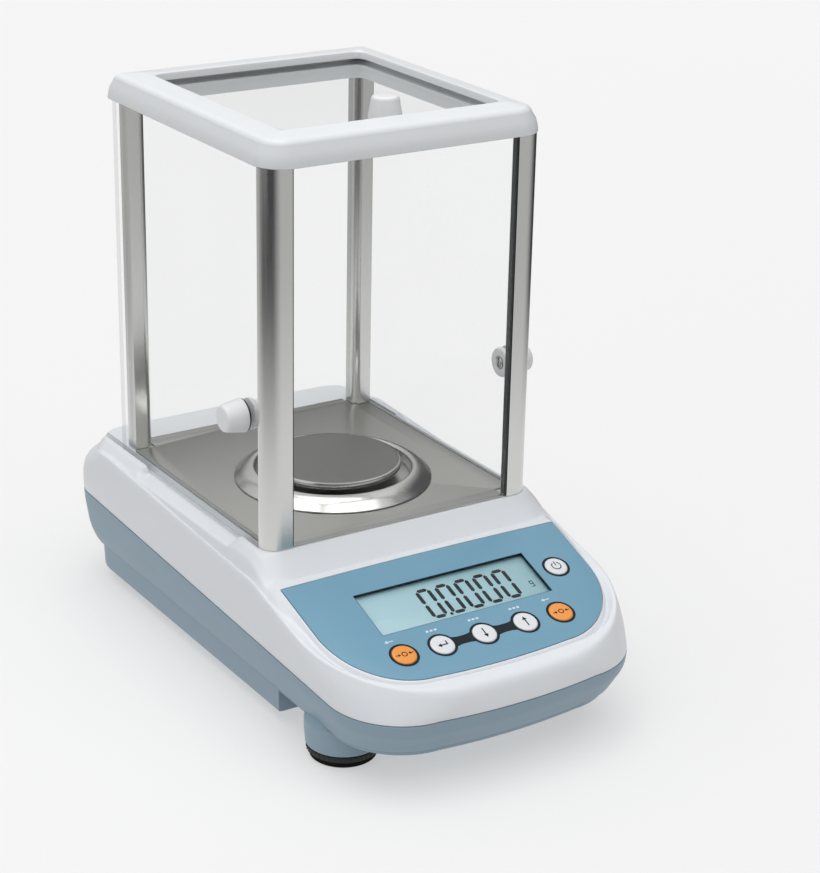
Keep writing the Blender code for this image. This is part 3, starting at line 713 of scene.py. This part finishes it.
KEY_TOP = 0.95                                  # of the caps, above the keypad's plane
ON_CAP = (KEY_TOP - 0.01, KEY_TOP + 0.05)       # heights of what is printed on a cap
ON_FILM = (0.08, 0.15)                          # and on the overlay


def overlay():
    film = tilt_bm(prism_bm(panel_outline(0.45), -0.8, 0.1, 0.12))
    bm = cut_bm(film, [lcd_box(0.0, -5, 5)] + [key_hole(key) for key in KEYS])
    piece(bm, "overlay_film", "film", "keypad_overlay")


def band():
    """Dark band joining the three middle keys, narrow between them and flared at each ring."""
    (x1, v1), (x2, v2) = [KEYS[k][:2] for k in ("enter", "up")]
    top, bottom = [], []
    for t in (i / 80 for i in range(81)):
        x, v = x1 + (x2 - x1) * t, v1 + (v2 - v1) * t
        near = abs(((t * 2) % 1.0) - 0.5) * 2      # 1 at a key's centre, 0 midway
        h = 3.0 + 4.6 * max(0.0, (near - 0.12) / 0.88) ** 1.8
        top.append((x, v + h))
        bottom.append((x, v - h))
    return cut_bm(flat(bottom + top[::-1], 0.08, 0.16), [key_hole(key) for key in MIDDLE_KEYS])


def key_outlines():
    bits = []
    for x, v, r, _ in KEYS.values():
        low, high, inner, outer = 0.08, 0.17, r + 0.25, r + 1.55
        profile = [(inner, low), (outer, low), (outer, high), (inner, high)]
        bits.append(tilt_bm(lathe_bm(profile, (x, v, 0), segs=72)))
    piece(join_bm(bits + [band()]), "key_outlines", "ink")


def drawn(points, at, heights):
    """Flat shape about the place at; its points are complex numbers."""
    return flat([(at[0] + p.real, at[1] + p.imag) for p in points], *heights)


def stroke(points, width, at, heights):
    """Flat line through points, which runs on a little past both ends."""
    out = []
    for a, b in zip(points, points[1:]):
        a, b = complex(*a), complex(*b)
        along = (b - a) / abs(b - a) * width
        on, side = along * 0.45, along * 0.5j
        out.append(drawn((a - on + side, a - on - side, b + on - side, b + on + side), at, heights))
    return out


def head(tip, direction, size, at, heights):
    """Triangular arrow head."""
    tip, back = complex(*tip), complex(*direction) * size
    side = back * 0.62j
    return drawn((tip, tip - back + side, tip - back - side), at, heights)


def sign(key, at):
    """Generic sign on a cap: an arrow, a power sign or a zero between arrows."""
    def line(points, width):
        return stroke(points, width, at, ON_CAP)

    def arrow(tip, direction, size):
        return [head(tip, direction, size, at, ON_CAP)]

    if key == "enter":
        return line([(2.6, 1.6), (2.6, -0.6), (-1.6, -0.6)], 0.75) + arrow((-3.4, -0.6), (-1, 0), 2.2)
    if key in ("down", "up"):
        s = 1 if key == "up" else -1
        return line([(0, -3.2 * s), (0, 1.4 * s)], 0.8) + arrow((0, 3.6 * s), (0, s), 2.4)
    if key == "power":
        return line(arc(0, 0, 2.7, 125, 415, 24), 0.6) + line([(0, 0.6), (0, 3.3)], 0.6)
    bits = line(arc(0, 0, 1.45, 0, 360, 20), 0.5)
    for s in (-1, 1):
        bits += line([(5.2 * s, 0), (3.6 * s, 0)], 0.5) + arrow((2.3 * s, 0), (-s, 0), 1.5)
    return bits


def keys():
    for key, (x, v, r, mat) in KEYS.items():
        profile = [(0, -4.6), (2.6, -4.6), (2.6, -0.55), (r, -0.55), (r, 0.45),
                   (r - 0.7, KEY_TOP - 0.08), (r * 0.5, KEY_TOP), (0, KEY_TOP)]
        profile = rounded(profile, [0, 0.2, 0.1, 0.1, 0.3, 0.5, 1.0, 0], 4)
        body = "key_" + key + "_body"
        cap = tilt_bm(lathe_bm(profile, (x, v, 0), segs=72))
        piece(cap, "cap_" + key, mat, "key_" + key, body)
        piece(join_bm(sign(key, (x, v))), "sign_" + key, "ink", body=body)


def printed_marks():
    """Small pale marks above the keys: an arrow over each tare key, three bars over the others."""
    marks = []
    for key in ("tare_left", "tare_right"):
        at = (KEYS[key][0] - 3.0, KEYS[key][1] + 11.6)
        marks += stroke([(2.4, 0), (-0.8, 0)], 0.6, at, ON_FILM)
        marks.append(head((-2.8, 0), (-1, 0), 2.0, at, ON_FILM))
    for key in MIDDLE_KEYS:
        x, v = KEYS[key][:2]
        for i in range(3):
            bar = moved(rectangle(0, 1.7, 0, 1.3), x - 3.6 + 2.6 * i, v + 11.2)
            marks.append(flat(bar, *ON_FILM))
    piece(join_bm(marks), "printed_marks", "ink_white")


# ---------------- display

ON_LCD = (-2.96, -2.88)                         # heights of the figures
V_LOW, V_HIGH = up(-63.5), up(-41.2)            # feet and tops of the digits
DIGIT_W, BAR_W, BAR_GAP = 9.8, 2.35, 0.35


def lcd_frame(outer, inner, n0, n1):
    """Rectangular frame round the display; outer and inner are margins outside the opening."""
    return cut_bm(lcd_box(outer, n0, n1), [lcd_box(inner, n0 - 1, n1 + 1)])


def display():
    """Glass, window and the opening's lining: black above the window, the glass's own colour below."""
    piece(lcd_box(0.55, -6.3, -2.95, 0.15), "lcd_glass", "lcd", "lcd_module")
    piece(lcd_box(0.55, -2.6, -1.6, 0.1), "display_window", "window", "lcd_window")
    piece(lcd_frame(-0.01, -0.3, -1.58, 0.03), "display_bezel", "ink")
    lining = [lcd_frame(0.95, 0.58, -6.2, -1.57), lcd_frame(0.5, -0.3, -2.93, -2.62)]
    piece(join_bm(lining), "display_bezel_inner", "lcd")


def bar_outline(a, b):
    """Bar with pointed ends between two corners of a digit."""
    along = (b - a) / abs(b - a)
    a, b = a + along * BAR_GAP, b - along * BAR_GAP
    point, side = along * BAR_W / 2, along * BAR_W / 2 * 1j
    return (a + point - side, b - point - side, b, b - point + side, a + point + side, a)


def zero(x):
    """The digit 0: six bars round a rectangle, split half way up."""
    q, h = BAR_W / 2, V_HIGH - V_LOW
    corners = [complex(u, v) for u in (q, DIGIT_W - q) for v in (q, h / 2, h - q)]
    bars = ((2, 5), (5, 4), (4, 3), (0, 3), (1, 0), (2, 1))
    return [drawn(bar_outline(corners[i], corners[j]), (x, V_LOW), ON_LCD) for i, j in bars]


def figures():
    """Five zeros with a point after the first, and the unit g."""
    bits = []
    for i in range(5):
        bits += zero(-18.4 + 12.5 * i)
    bits.append(flat(moved(rectangle(0, 1.7, 0, 1.9), -7.5, V_LOW), *ON_LCD))
    unit = ((0, 2.2, 0, 0.5), (0, 2.2, 2.2, 2.7), (0, 0.5, 0.4, 2.3), (1.7, 2.2, -1.6, 2.7),
            (0.1, 2.2, -2.1, -1.6))
    bits += [flat(moved(rectangle(*bar), 50.0, up(-57.2)), *ON_LCD) for bar in unit]
    piece(join_bm(bits), "digits", "ink")


# ---------------- weighing chamber

def chamber_floor():
    """Plate on the deck, notched for the four posts, with the hole for the pan's stem."""
    x0, x1, y0, y1, y2, y3 = 70.4, 81.4, 0.9, 11.2, 169.4, 184.0
    outline = [(-x0, y0), (x0, y0), (x0, y1), (x1, y1), (x1, y2), (x0, y2),
               (x0, y3), (-x0, y3), (-x0, y2), (-x1, y2), (-x1, y1), (-x0, y1)]
    plate = prism_bm(rounded(outline, [0.8] * 12), DECK + 0.2, DECK + 1.2, 0.15)
    bm = cut_bm(plate, [lathe_bm(rod(14, -5, 5), (0, PAN_Y, DECK))])
    piece(bm, "floor_plate", "steel", "chamber_floor")


def draft_ring():
    profile = [(58.4, 0.0), (58.4, 0.5), (56.6, 2.0), (53.4, 4.8), (50.0, 6.6), (47.6, 7.0),
               (46.3, 6.2), (45.8, 4.4), (45.8, 0.0)]
    profile = rounded(profile, [0, 0.3, 2.0, 3.0, 2.4, 1.6, 1.0, 1.0, 0], 4)
    bm = lathe_bm(profile, (0, PAN_Y, DECK + 1.5), segs=160)
    piece(bm, "draft_ring_polished", "polished", "draft_ring", "ring")


def pan():
    """Plate, its bright rolled edge, and the hub with the stem below."""
    centre = (0, PAN_Y, DECK + 0.3)
    plate = [(0, 11.9), (37.4, 11.9), (39.6, 11.5), (40.0, 10.2), (40.0, 8.0), (39.4, 8.0),
             (39.3, 10.0), (38.4, 11.0), (0, 11.1)]
    plate = rounded(plate, [0, 1.0, 1.0, 1.0, 0.2, 0.2, 0.5, 0.6, 0], 4)
    piece(lathe_bm(plate, centre, segs=160), "pan_plate", "pan", "weighing_pan", "pan")
    rim = [(38.9, 11.75), (39.75, 11.5), (40.12, 10.4), (40.12, 8.6), (40.0, 8.4), (39.9, 10.4),
           (39.5, 11.2), (38.9, 11.5)]
    piece(lathe_bm(rim, centre, segs=160), "pan_rim", "polished", body="pan")
    hub = [(0, -30.0), (1.4, -30.0), (2.5, -27.0), (2.5, -2.0), (5.0, -1.0), (5.0, 4.6), (9.0, 6.4),
           (28.0, 8.6), (28.0, 10.6), (0, 10.6)]
    hub = rounded(hub, [0, 0.3, 0.5, 0.5, 0.6, 1.0, 1.5, 0.5, 0.3, 0], 3)
    piece(lathe_bm(hub, centre), "pan_hub", "screw", "pan_support", "pan")


# ---------------- draft shield

POST_Z = (DECK + 0.2, POST_TOP - 0.2)
GLASS_Z0 = DECK + 1.5                           # lower edge of the front and rear glass


def side_of(points, side):
    """An outline given for x > 0, on either side of the plane of symmetry."""
    points = [(side * x, y) for x, y in points]
    return points[::-1] if side < 0 else points


def posts():
    front = [(71.5, 0.0), (73.0, 0.0)] + arc(77.9, 9.6, 9.6, -90, 0, 20)
    front += [(87.5, 10.0), (75.6, 10.0), (75.6, 6.4), (71.5, 6.4)]
    rear = [(83.0, 170.0), (83.0, 180.5), (71.2, 180.5)] + arc(76.2, 175.0, 5.0, 180, 270, 10)
    for side, hand in SIDES:
        for end, outline in (("front", front), ("rear", rear)):
            bm = prism_bm(side_of(outline, side), *POST_Z)
            name = "post_%s_%s" % (end[0], hand)
            piece(bm, name, "alu", "post_%s_%s" % (end, hand), angle=25.0)


def frame_outline(inset):
    """Outline of the top frame, with larger corners at the front."""
    w, yf, yb = 88.8 - inset, -4.4 + inset, 188.6 - inset
    rf, rb = max(1.5, 17.0 - inset), max(0.8, 7.0 - inset)
    corners = ((w - rf, yf + rf, rf, -90), (w - rb, yb - rb, rb, 0),
               (-w + rb, yb - rb, rb, 90), (-w + rf, yf + rf, rf, 180))
    return [p for cx, cy, r, start in corners for p in arc(cx, cy, r, start, start + 90, 14)]


def frame_shell():
    """Moulding with leaning sides, a large rounding and a crowned top."""
    radius, lean, height, crown = 5.0, 3.4, 14.4, 1.6
    levels = [(2.0, 0.0), (1.0, 0.0), (0.35, 0.15), (0.0, 0.6), (0.35, 3.0), (1.5, 7.4)]
    levels += [(lean + radius - radius * math.cos(a), height - radius + radius * math.sin(a))
               for a in np.radians(np.linspace(14, 90, 12))]
    levels.append((lean + radius + 9.0, height + crown))
    return stack_bm([[(x, y, POST_TOP + h) for x, y in frame_outline(inset)] for inset, h in levels])


def frame_opening():
    """Cutter for the opening over the chamber; its upper edge is eased."""
    outline = np.array(rounded(rectangle(-69.4, 69.4, 15.2, 164.2), [7.0] * 4, 8))
    middle = outline.mean(0)
    reach = np.maximum(np.abs(outline - middle), 1.0)
    levels = []
    for growth, h in ((0.0, -5), (0.0, 15.0), (0.25, 15.6), (0.8, 16.02), (2.4, 17.6)):
        wider = middle + (outline - middle) * (1 + growth / reach)
        levels.append([(x, y, POST_TOP + h) for x, y in wider])
    return stack_bm(levels)


def top_frame():
    """Shell with the opening, the top door's channel and the grooves over the four upright panes."""
    groove = (POST_TOP - 1, POST_TOP + 3.0)
    bm = cut_bm(frame_shell(), [
        frame_opening(),
        box_bm(-73.6, 73.6, 12.2, 200.0, POST_TOP + 7.6, POST_TOP + 11.6),
        box_bm(-87.5, -84.1, 10.0, 200.0, *groove),
        box_bm(84.1, 87.5, 10.0, 200.0, *groove),
        box_bm(-71.0, 71.0, 0.5, 4.1, *groove),
        box_bm(-71.0, 71.0, 176.2, 179.4, *groove),
    ])
    piece(bm, "frame_moulding", "frame", "top_frame", angle=30.0)


def pane(name, node, x, y, z, body="base", hole=None):
    """Glass sheet with ground edges; the narrow faces take the edge material."""
    bm = box_bm(*x, *y, *z, 0.3, 1)
    if hole:
        bm = cut_bm(bm, [lathe_bm(rod(2.3, -6, 6), *hole, 40)])
    ob = piece(bm, name, "glass", node, body, 30.0)
    ob.data.materials.append(M["glass_edge"])
    thin = min(range(3), key=lambda i: (x[1] - x[0], y[1] - y[0], z[1] - z[0])[i])
    for p in ob.data.polygons:
        if abs(p.normal[thin]) < 0.9:
            p.material_index = 1


def panes():
    upright = (GLASS_Z0, POST_TOP + 2.7)
    pane("pane_front", "front_glass", (-70.5, 70.5), (0.8, 3.8), upright)
    pane("pane_rear", "rear_glass", (-70.6, 70.6), (176.5, 179.1), upright)
    door = (DECK - 3.4, POST_TOP + 2.6)
    for side, hand in SIDES:
        hole = ((side * 85.8, KNOB_Y, KNOB_Z), "x")
        x = between(side, 84.5, 87.1)
        pane("pane_" + hand, hand + "_door_glass", x, (10.5, 181.0), door, hand + "_door", hole)
    hole = ((0, TOP_KNOB_Y, POST_TOP + 9.5), "z")
    pane("pane_top", "top_door_glass", (-73.2, 73.2), (12.6, 186.4), (POST_TOP + 8.0, POST_TOP + 11.0),
         "top_door", hole)


def knob(which, outer, inner, axis_out, axis_in, flip=1):
    """Grip outside a door, with its washer, the clamping disc inside and the slotted screw."""
    body = which + "_door"
    grip = [(3.0, 0.0), (8.8, 0.0), (8.8, 0.9), (9.5, 1.0), (9.4, 2.0), (7.7, 12.1), (6.9, 13.4),
            (3.0, 13.6), (0, 13.6), (0, 9.4), (3.0, 9.4)]
    grip = rounded(grip, [0, 0.1, 0.0, 0.4, 0.6, 0.8, 1.2, 0, 0, 0, 0], 4)
    washer = [(3.1, 0.02), (9.05, 0.02), (9.05, 0.85), (3.1, 0.85)]
    disc = [(1.9, 0.0), (8.9, 0.0), (8.7, 2.1), (8.0, 2.7), (3.9, 2.7), (3.5, 1.6), (1.9, 1.6)]
    disc = rounded(disc, [0, 0.2, 0.6, 0.5, 0.2, 0.1, 0], 4)
    shank = [(0, -8.9), (1.6, -8.9), (1.6, 1.9), (3.2, 1.9), (3.2, 2.9), (2.5, 3.5), (0, 3.5)]
    shank = rounded(shank, [0, 0.2, 0, 0, 0.2, 0.3, 0], 3)

    def inside(profile, segs):
        return lathe_bm([(r, flip * h) for r, h in profile], inner, axis_in, segs)

    bm = lathe_bm(grip, outer, axis_out)
    piece(bm, "grip_" + which, "white", "knob_" + which, body)
    bm = lathe_bm(washer, outer, axis_out, 64)
    piece(bm, "washer_" + which, "black", body=body)
    piece(inside(disc, 96), "clamp_" + which, "white", "knob_disc_" + which, body)
    x, y, z = inner
    if axis_in == "z":
        slot = box_bm(x - 4, x + 4, y - 0.45, y + 0.45, z - 4.2, z - 2.8)
    else:
        way = 1 if axis_in == "x" else -1
        slot = box_bm(*sorted((x + way * 2.8, x + way * 4.2)), y - 0.45, y + 0.45, z - 4, z + 4)
    bm = cut_bm(inside(shank, 48), [slot])
    piece(bm, "bolt_" + which, "screw", "knob_screw_" + which, body)


def knobs():
    knob("left", (-87.4, KNOB_Y, KNOB_Z), (-84.2, KNOB_Y, KNOB_Z), "-x", "x")
    knob("right", (87.4, KNOB_Y, KNOB_Z), (84.2, KNOB_Y, KNOB_Z), "x", "-x")
    knob("top", (0, TOP_KNOB_Y, POST_TOP + 11.3), (0, TOP_KNOB_Y, POST_TOP + 7.7), "z", "z", -1)


def seals_and_rails():
    for side, hand in SIDES:
        seal = box_bm(*between(side, 70.7, 71.35), 0.4, 5.0, DECK + 1.3, POST_TOP - 0.3, 0.1)
        piece(seal, "seal_" + hand, "seal", "front_seal_" + hand)
        rail = box_bm(*between(side, 81.8, 83.9), 11.0, 169.6, DECK + 0.2, DECK + 1.6, 0.4)
        piece(rail, "rail_" + hand, "rail", hand + "_door_rail")


# ---------------- feet

WHEEL_Z = (4.0, BASE - 0.6)                     # underside and top of the knurled wheels


def wheel_bm(x, y, r):
    """Wheel with 40 grip ribs, and a boss below."""
    low, high = WHEEL_Z
    profile = rounded([(3.2, low), (r - 0.4, low), (r - 0.4, high), (3.2, high)], [0, 0.8, 0.8, 0])
    bits = [lathe_bm(profile, (x, y, 0))]
    ends = ((0, -1), (1, -0.55), (1, 0.55), (0, 1))
    rib = [(r - 0.6 + out * 0.55, along * 0.75) for out, along in ends]
    for a in (2 * math.pi * k / 40 for k in range(40)):
        ca, sa = math.cos(a), math.sin(a)
        turned = [(x + px * ca - py * sa, y + px * sa + py * ca) for px, py in rib]
        bits.append(prism_bm(turned, low + 0.4, high - 0.4))
    bits.append(lathe_bm(rod(7.5, 2.6, low + 0.5), (x, y, 0), segs=48))
    return join_bm(bits)


def thread_bm(x, y, top):
    """Threaded stud, drawn as rings, that ends above top."""
    z = WHEEL_Z[0] + 0.6
    profile = [(0, z)]
    while z < top:
        profile += [(2.55, z), (2.95, z + 0.45)]
        z += 0.9
    profile += [(2.2, z), (0, z)]
    return lathe_bm(profile, (x, y, 0), segs=40)


def feet():
    for foot, (x, y, r, floor_z) in FEET.items():
        body = "foot_" + foot
        piece(wheel_bm(x, y, r), "foot_wheel_" + foot, "black", "foot_stud_" + foot, body)
        thread = thread_bm(x, y, floor_z + 8.6)
        piece(thread, "foot_thread_" + foot, "screw", body=body, angle=60.0)
        top = WHEEL_Z[0] - 0.3
        pad = [(0, 0.0), (r - 3.0, 0.0), (r - 1.8, 0.8), (r - 1.8, top), (7.8, top), (7.8, 2.3), (0, 2.3)]
        pad = lathe_bm(rounded(pad, [0, 0.5, 0.5, 0.4, 0.2, 0.1, 0], 3), (x, y, 0))
        piece(pad, "foot_rubber_" + foot, "rubber", "foot_pad_" + foot, body)


# ---------------- level, back and underside

def bubble_level():
    """Housing in the deck, the liquid under its dome, the centre circle and the bubble."""
    def turned(profile, radii, segs=96):
        return lathe_bm(rounded(profile, radii, 3), (0, LEVEL_Y, DECK), segs=segs)

    cup = [(0, -5.9), (8.0, -5.9), (8.0, 0.9), (7.4, 1.4), (6.5, 1.4), (6.5, -4.2), (0, -4.2)]
    bezel = turned(cup, [0, 0, 0.4, 0.3, 0.2, 0, 0])
    piece(bezel, "level_bezel", "black", "level_housing")
    fluid = turned([(0, -3.9), (6.2, -3.9), (6.2, 0.5), (5.0, 0.9), (0, 1.1)], [0, 0.3, 0.4, 1, 0])
    piece(fluid, "level_fluid", "liquid", "level_vial")
    circle = turned([(2.7, 1.02), (3.0, 1.02), (3.0, 1.12), (2.7, 1.12)], [0] * 4, 64)
    piece(circle, "level_circle", "ink")
    air = turned([(0, 1.0), (2.0, 1.0), (2.1, 1.16), (0, 1.24)], [0, 0.1, 0.4, 0], 48)
    piece(air, "level_air", "bubble")


def facing_back(outline, y0, y1):
    """Extrudes an outline given in x and z along y."""
    bm = prism_bm(outline, y0, y1)
    for v in bm.verts:
        x, z, y = v.co
        v.co = (x, y, z)
    return bm


def serial_port():
    """Shell with a D-shaped mouth, nine pins in two rows and two hexagonal nuts."""
    block = box_bm(-62.1, -31.9, 234.0, 246.4, DECK - 35.9, DECK - 24.1, 0.6)
    mouth = [(-56.0, DECK - 26.2), (-38.0, DECK - 26.2), (-39.8, DECK - 33.4), (-54.2, DECK - 33.4)]
    bm = cut_bm(block, [facing_back(rounded(mouth, [1.2] * 4), 240.5, 248.0)])
    piece(bm, "port_shell", "black", "serial_port")
    pin = [(0, -0.5), (0.5, -0.5), (0.5, 4.4), (0.3, 4.8), (0, 4.8)]
    pins = []
    for count, z in ((5, DECK - 28.4), (4, DECK - 31.2)):
        for k in range(count):
            x = -47.0 + (k - (count - 1) / 2) * 2.77
            pins.append(lathe_bm(pin, (x, 240.4, z), "y", 16))
    piece(join_bm(pins), "port_pins", "gold")
    nut = [(0, -0.4), (2.4, -0.4), (2.4, 0.0), (1.3, 0.0), (1.3, -0.3), (0, -0.3)]
    for k, x in enumerate((-59.2, -34.8)):
        bm = lathe_bm(nut, (x, 246.4, DECK - 30.0), "y", 6)
        piece(bm, "port_nut_%d" % k, "screw", angle=20.0)


def power_inlet():
    profile = [(1.1, -9.0), (5.3, -9.0), (5.3, 1.4), (2.9, 1.4), (2.9, -6.0), (1.1, -6.0),
               (1.1, -0.4), (0, -0.1), (0, -9.0)]
    bm = lathe_bm(rounded(profile, [0, 0, 0.4, 0.3, 0, 0, 0.3, 0, 0], 3), JACK, "y", 48)
    piece(bm, "inlet_jack", "black", "power_inlet")


def hook_cover():
    """Plug in the underside below the pan, with a coin slot."""
    profile = [(0, -0.4), (11.4, -0.4), (12.0, 0.2), (12.0, 2.6), (0, 2.6)]
    bm = lathe_bm(rounded(profile, [0, 0.3, 0.3, 0.2, 0], 3), (0, PAN_Y, BASE))
    bm = cut_bm(bm, [box_bm(-6.5, 6.5, PAN_Y - 0.9, PAN_Y + 0.9, BASE - 1.2, BASE + 0.8)])
    piece(bm, "hook_plug", "black", "hook_cover")


def case_screws():
    profile = [(0, 0.3), (1.6, 0.1), (3.4, 0.35), (4.0, 0.8), (4.0, 1.1), (1.7, 1.1), (1.7, 14.0),
               (0, 14.6)]
    profile = rounded(profile, [0, 0.5, 0.5, 0.2, 0, 0, 0.3, 0], 3)
    for name, (x, y) in SCREWS.items():
        cross = [box_bm(x - a, x + a, y - b, y + b, BASE - 1, BASE + 1.4)
                 for a, b in ((2.2, 0.4), (0.4, 2.2))]
        bm = cut_bm(lathe_bm(profile, (x, y, BASE), segs=48), cross)
        piece(bm, "cross_" + name, "screw", name)


def inner_parts():
    """The pieces inside keep their solids and take plain materials."""
    inside = {"base_chassis": "cast", "load_cell": "cast", "main_board": "board", "display_board": "board"}
    for node, mat in inside.items():
        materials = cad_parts[node].data.materials
        materials.clear()
        materials.append(M[mat])


for build in (upper_housing, lower_housing, overlay, key_outlines, keys, printed_marks, display, figures,
              chamber_floor, draft_ring, pan, posts, top_frame, panes, knobs, seals_and_rails, feet,
              bubble_level, serial_port, power_inlet, hook_cover, case_screws, inner_parts):
    build()


# ---------------- floor, light, camera

ROUND = 64                                      # points round the surroundings and the backdrop


def circle(r, z):
    return [(x, y, z) for x, y in arc(0, 0, r, 0, 360, ROUND)[:-1]]


def stage_piece(name, verts, faces, material, unseen_by=()):
    me = bpy.data.meshes.new(name)
    me.from_pydata(verts, [], faces)
    me.materials.append(material)
    ob = linked(name, me)
    for rays in unseen_by:
        setattr(ob, "visible_" + rays, False)


def floor():
    """White table that glows a little by its own emission, as if lit from below, which keeps the shadows
    pale; its colour is painted darker near the middle, painted shade that evens out the lamps' brighter
    light there.
    """
    m, nt, b = new_mat("floor_white")
    # painted shade: the table's colour is darkest within 0.4 m of the middle, where the lamps light it
    # most, and grows lighter out to 2.4 m
    away = ramp(nt, vector_maths(nt, "LENGTH", "Value", coords(nt)), 0.0, 1.0, 0.4, 2.4)
    tone = mix_colour(nt, away, (0.385, 0.385, 0.385), (0.435, 0.435, 0.435))
    connect(nt, b.inputs["Base Color"], tone)
    b.inputs["Roughness"].default_value = 0.9
    b.inputs["Specular IOR Level"].default_value = 0.0
    b.inputs["Emission Color"].default_value = (1.0, 1.0, 1.0, 1)
    b.inputs["Emission Strength"].default_value = 0.46
    s = 30.0
    stage_piece("floor", [(-s, -s, 0), (s, -s, 0), (s, s, 0), (-s, s, 0)], [(0, 1, 2, 3)], m)


def surround():
    """Surroundings beyond the table: a ring that darkens outwards, seen only in reflections."""
    m, nt, b = new_mat("surround_grey")
    nt.nodes.remove(b)
    where = coords(nt)
    away = vector_maths(nt, "LENGTH", "Value", where)
    unit = vector_maths(nt, "NORMALIZE", "Vector", where)
    along = vector_maths(nt, "DOT_PRODUCT", "Value", unit, (0.87, 0.50, 0.0))
    square = maths(nt, "POWER", maths(nt, "ABSOLUTE", along), 2.0)
    weight = ramp(nt, square, 0.36, 1.0, 0.05, 0.75)
    depth = maths(nt, "MULTIPLY", ramp(nt, away, 0.0, 1.0, 0.44, 0.80), weight)
    tone = mix_colour(nt, depth, (0.80, 0.80, 0.80), (0.04, 0.04, 0.045))
    glow = add(nt, "ShaderNodeEmission", {"Color": tone})
    back = add(nt, "ShaderNodeNewGeometry").outputs["Backfacing"]
    mix_shaders(nt, back, glow, add(nt, "ShaderNodeBsdfTransparent"))
    faces = [face[::-1] for face in strips(2, ROUND)]      # facing up
    unseen_by = ("camera", "shadow", "transmission")
    stage_piece("surround", circle(0.30, 0.001) + circle(9.0, 0.001), faces, m, unseen_by)


def backdrop():
    """Pale paper wall behind the table, seen above the horizon in low views; it gives no light."""
    m, nt, b = new_mat("backdrop_paper")
    nt.nodes.remove(b)
    glow = add(nt, "ShaderNodeEmission", {"Color": (0.915, 0.915, 0.915)})
    connect(nt, nt.nodes["Material Output"].inputs["Surface"], glow.outputs[0])
    unseen_by = ("diffuse", "glossy", "transmission", "shadow")
    stage_piece("backdrop", circle(7.0, -0.5) + circle(7.0, 9.0), strips(2, ROUND), m, unseen_by)


def studio():
    """World that is pale overhead, and darker low down and on the right."""
    world = bpy.data.worlds.new("studio")
    bpy.context.scene.world = world
    world.use_nodes = True
    nt = world.node_tree
    where = add(nt, "ShaderNodeTexCoord").outputs["Generated"]
    split = add(nt, "ShaderNodeSeparateXYZ", {0: where})
    tones = add(nt, "ShaderNodeValToRGB", {"Fac": ramp(nt, split.outputs["Z"], 0.0, 1.0)})
    low, high = tones.color_ramp.elements
    low.position = 0.08
    low.color = (0.11, 0.112, 0.115, 1)
    high.color = (0.98, 0.98, 0.98, 1)
    tones.color_ramp.elements.new(0.36).color = (0.60, 0.60, 0.60, 1)
    right = ramp(nt, split.outputs["X"], 0.0, 1.0, 0.62, 0.84)
    sky = mix_colour(nt, right, tones.outputs["Color"], (0.10, 0.10, 0.105))
    connect(nt, nt.nodes["Background"].inputs["Color"], sky)


def lamp(name, kind, power, towards, **properties):
    """Light that shines along the direction towards."""
    light = bpy.data.lights.new(name, kind)
    light.energy = power
    for key, value in properties.items():
        setattr(light, key, value)
    ob = linked(name, light)
    ob.rotation_euler = Vector(towards).to_track_quat("-Z", "Y").to_euler()
    return ob


def area(name, place_at, target, size, power):
    towards = Vector(target) - Vector(place_at)
    lamp(name, "AREA", power, towards, shape="SQUARE", size=size).location = place_at


def camera():
    """Long lens from the left and above, rolled a little."""
    azimuth, elevation, roll = math.radians(33.05), math.radians(21.63), math.radians(1.17)
    cam = bpy.data.cameras.new("camera")
    cam.sensor_width = 36.0
    cam.sensor_fit = "AUTO"
    cam.lens = 92.3918
    ob = bpy.context.scene.camera = linked("camera", cam)
    level = math.cos(elevation)
    ahead = Vector((math.sin(azimuth) * level, math.cos(azimuth) * level, -math.sin(elevation)))
    right = Vector((math.cos(azimuth), -math.sin(azimuth), 0.0))
    above = right.cross(ahead)
    rolled_right = right * math.cos(roll) + above * math.sin(roll)
    rolled_up = above * math.cos(roll) - right * math.sin(roll)
    turn = Matrix((rolled_right, rolled_up, -ahead)).transposed().to_4x4()
    ob.matrix_world = Matrix.Translation((-0.630, -1.0359, 0.614)) @ turn


floor()
surround()
backdrop()
studio()
lamp("key", "SUN", 1.0, (0.12, 0.30, -1.5), angle=math.radians(60.0))
area("top", (-0.3, 0.3, 2.0), (0, 0, 0.15), 1.2, 6.0)
area("left", (-1.3, -0.2, 0.45), (0, 0.02, 0.05), 0.9, 1.4)
bpy.context.scene.view_settings.view_transform = "Standard"
camera()
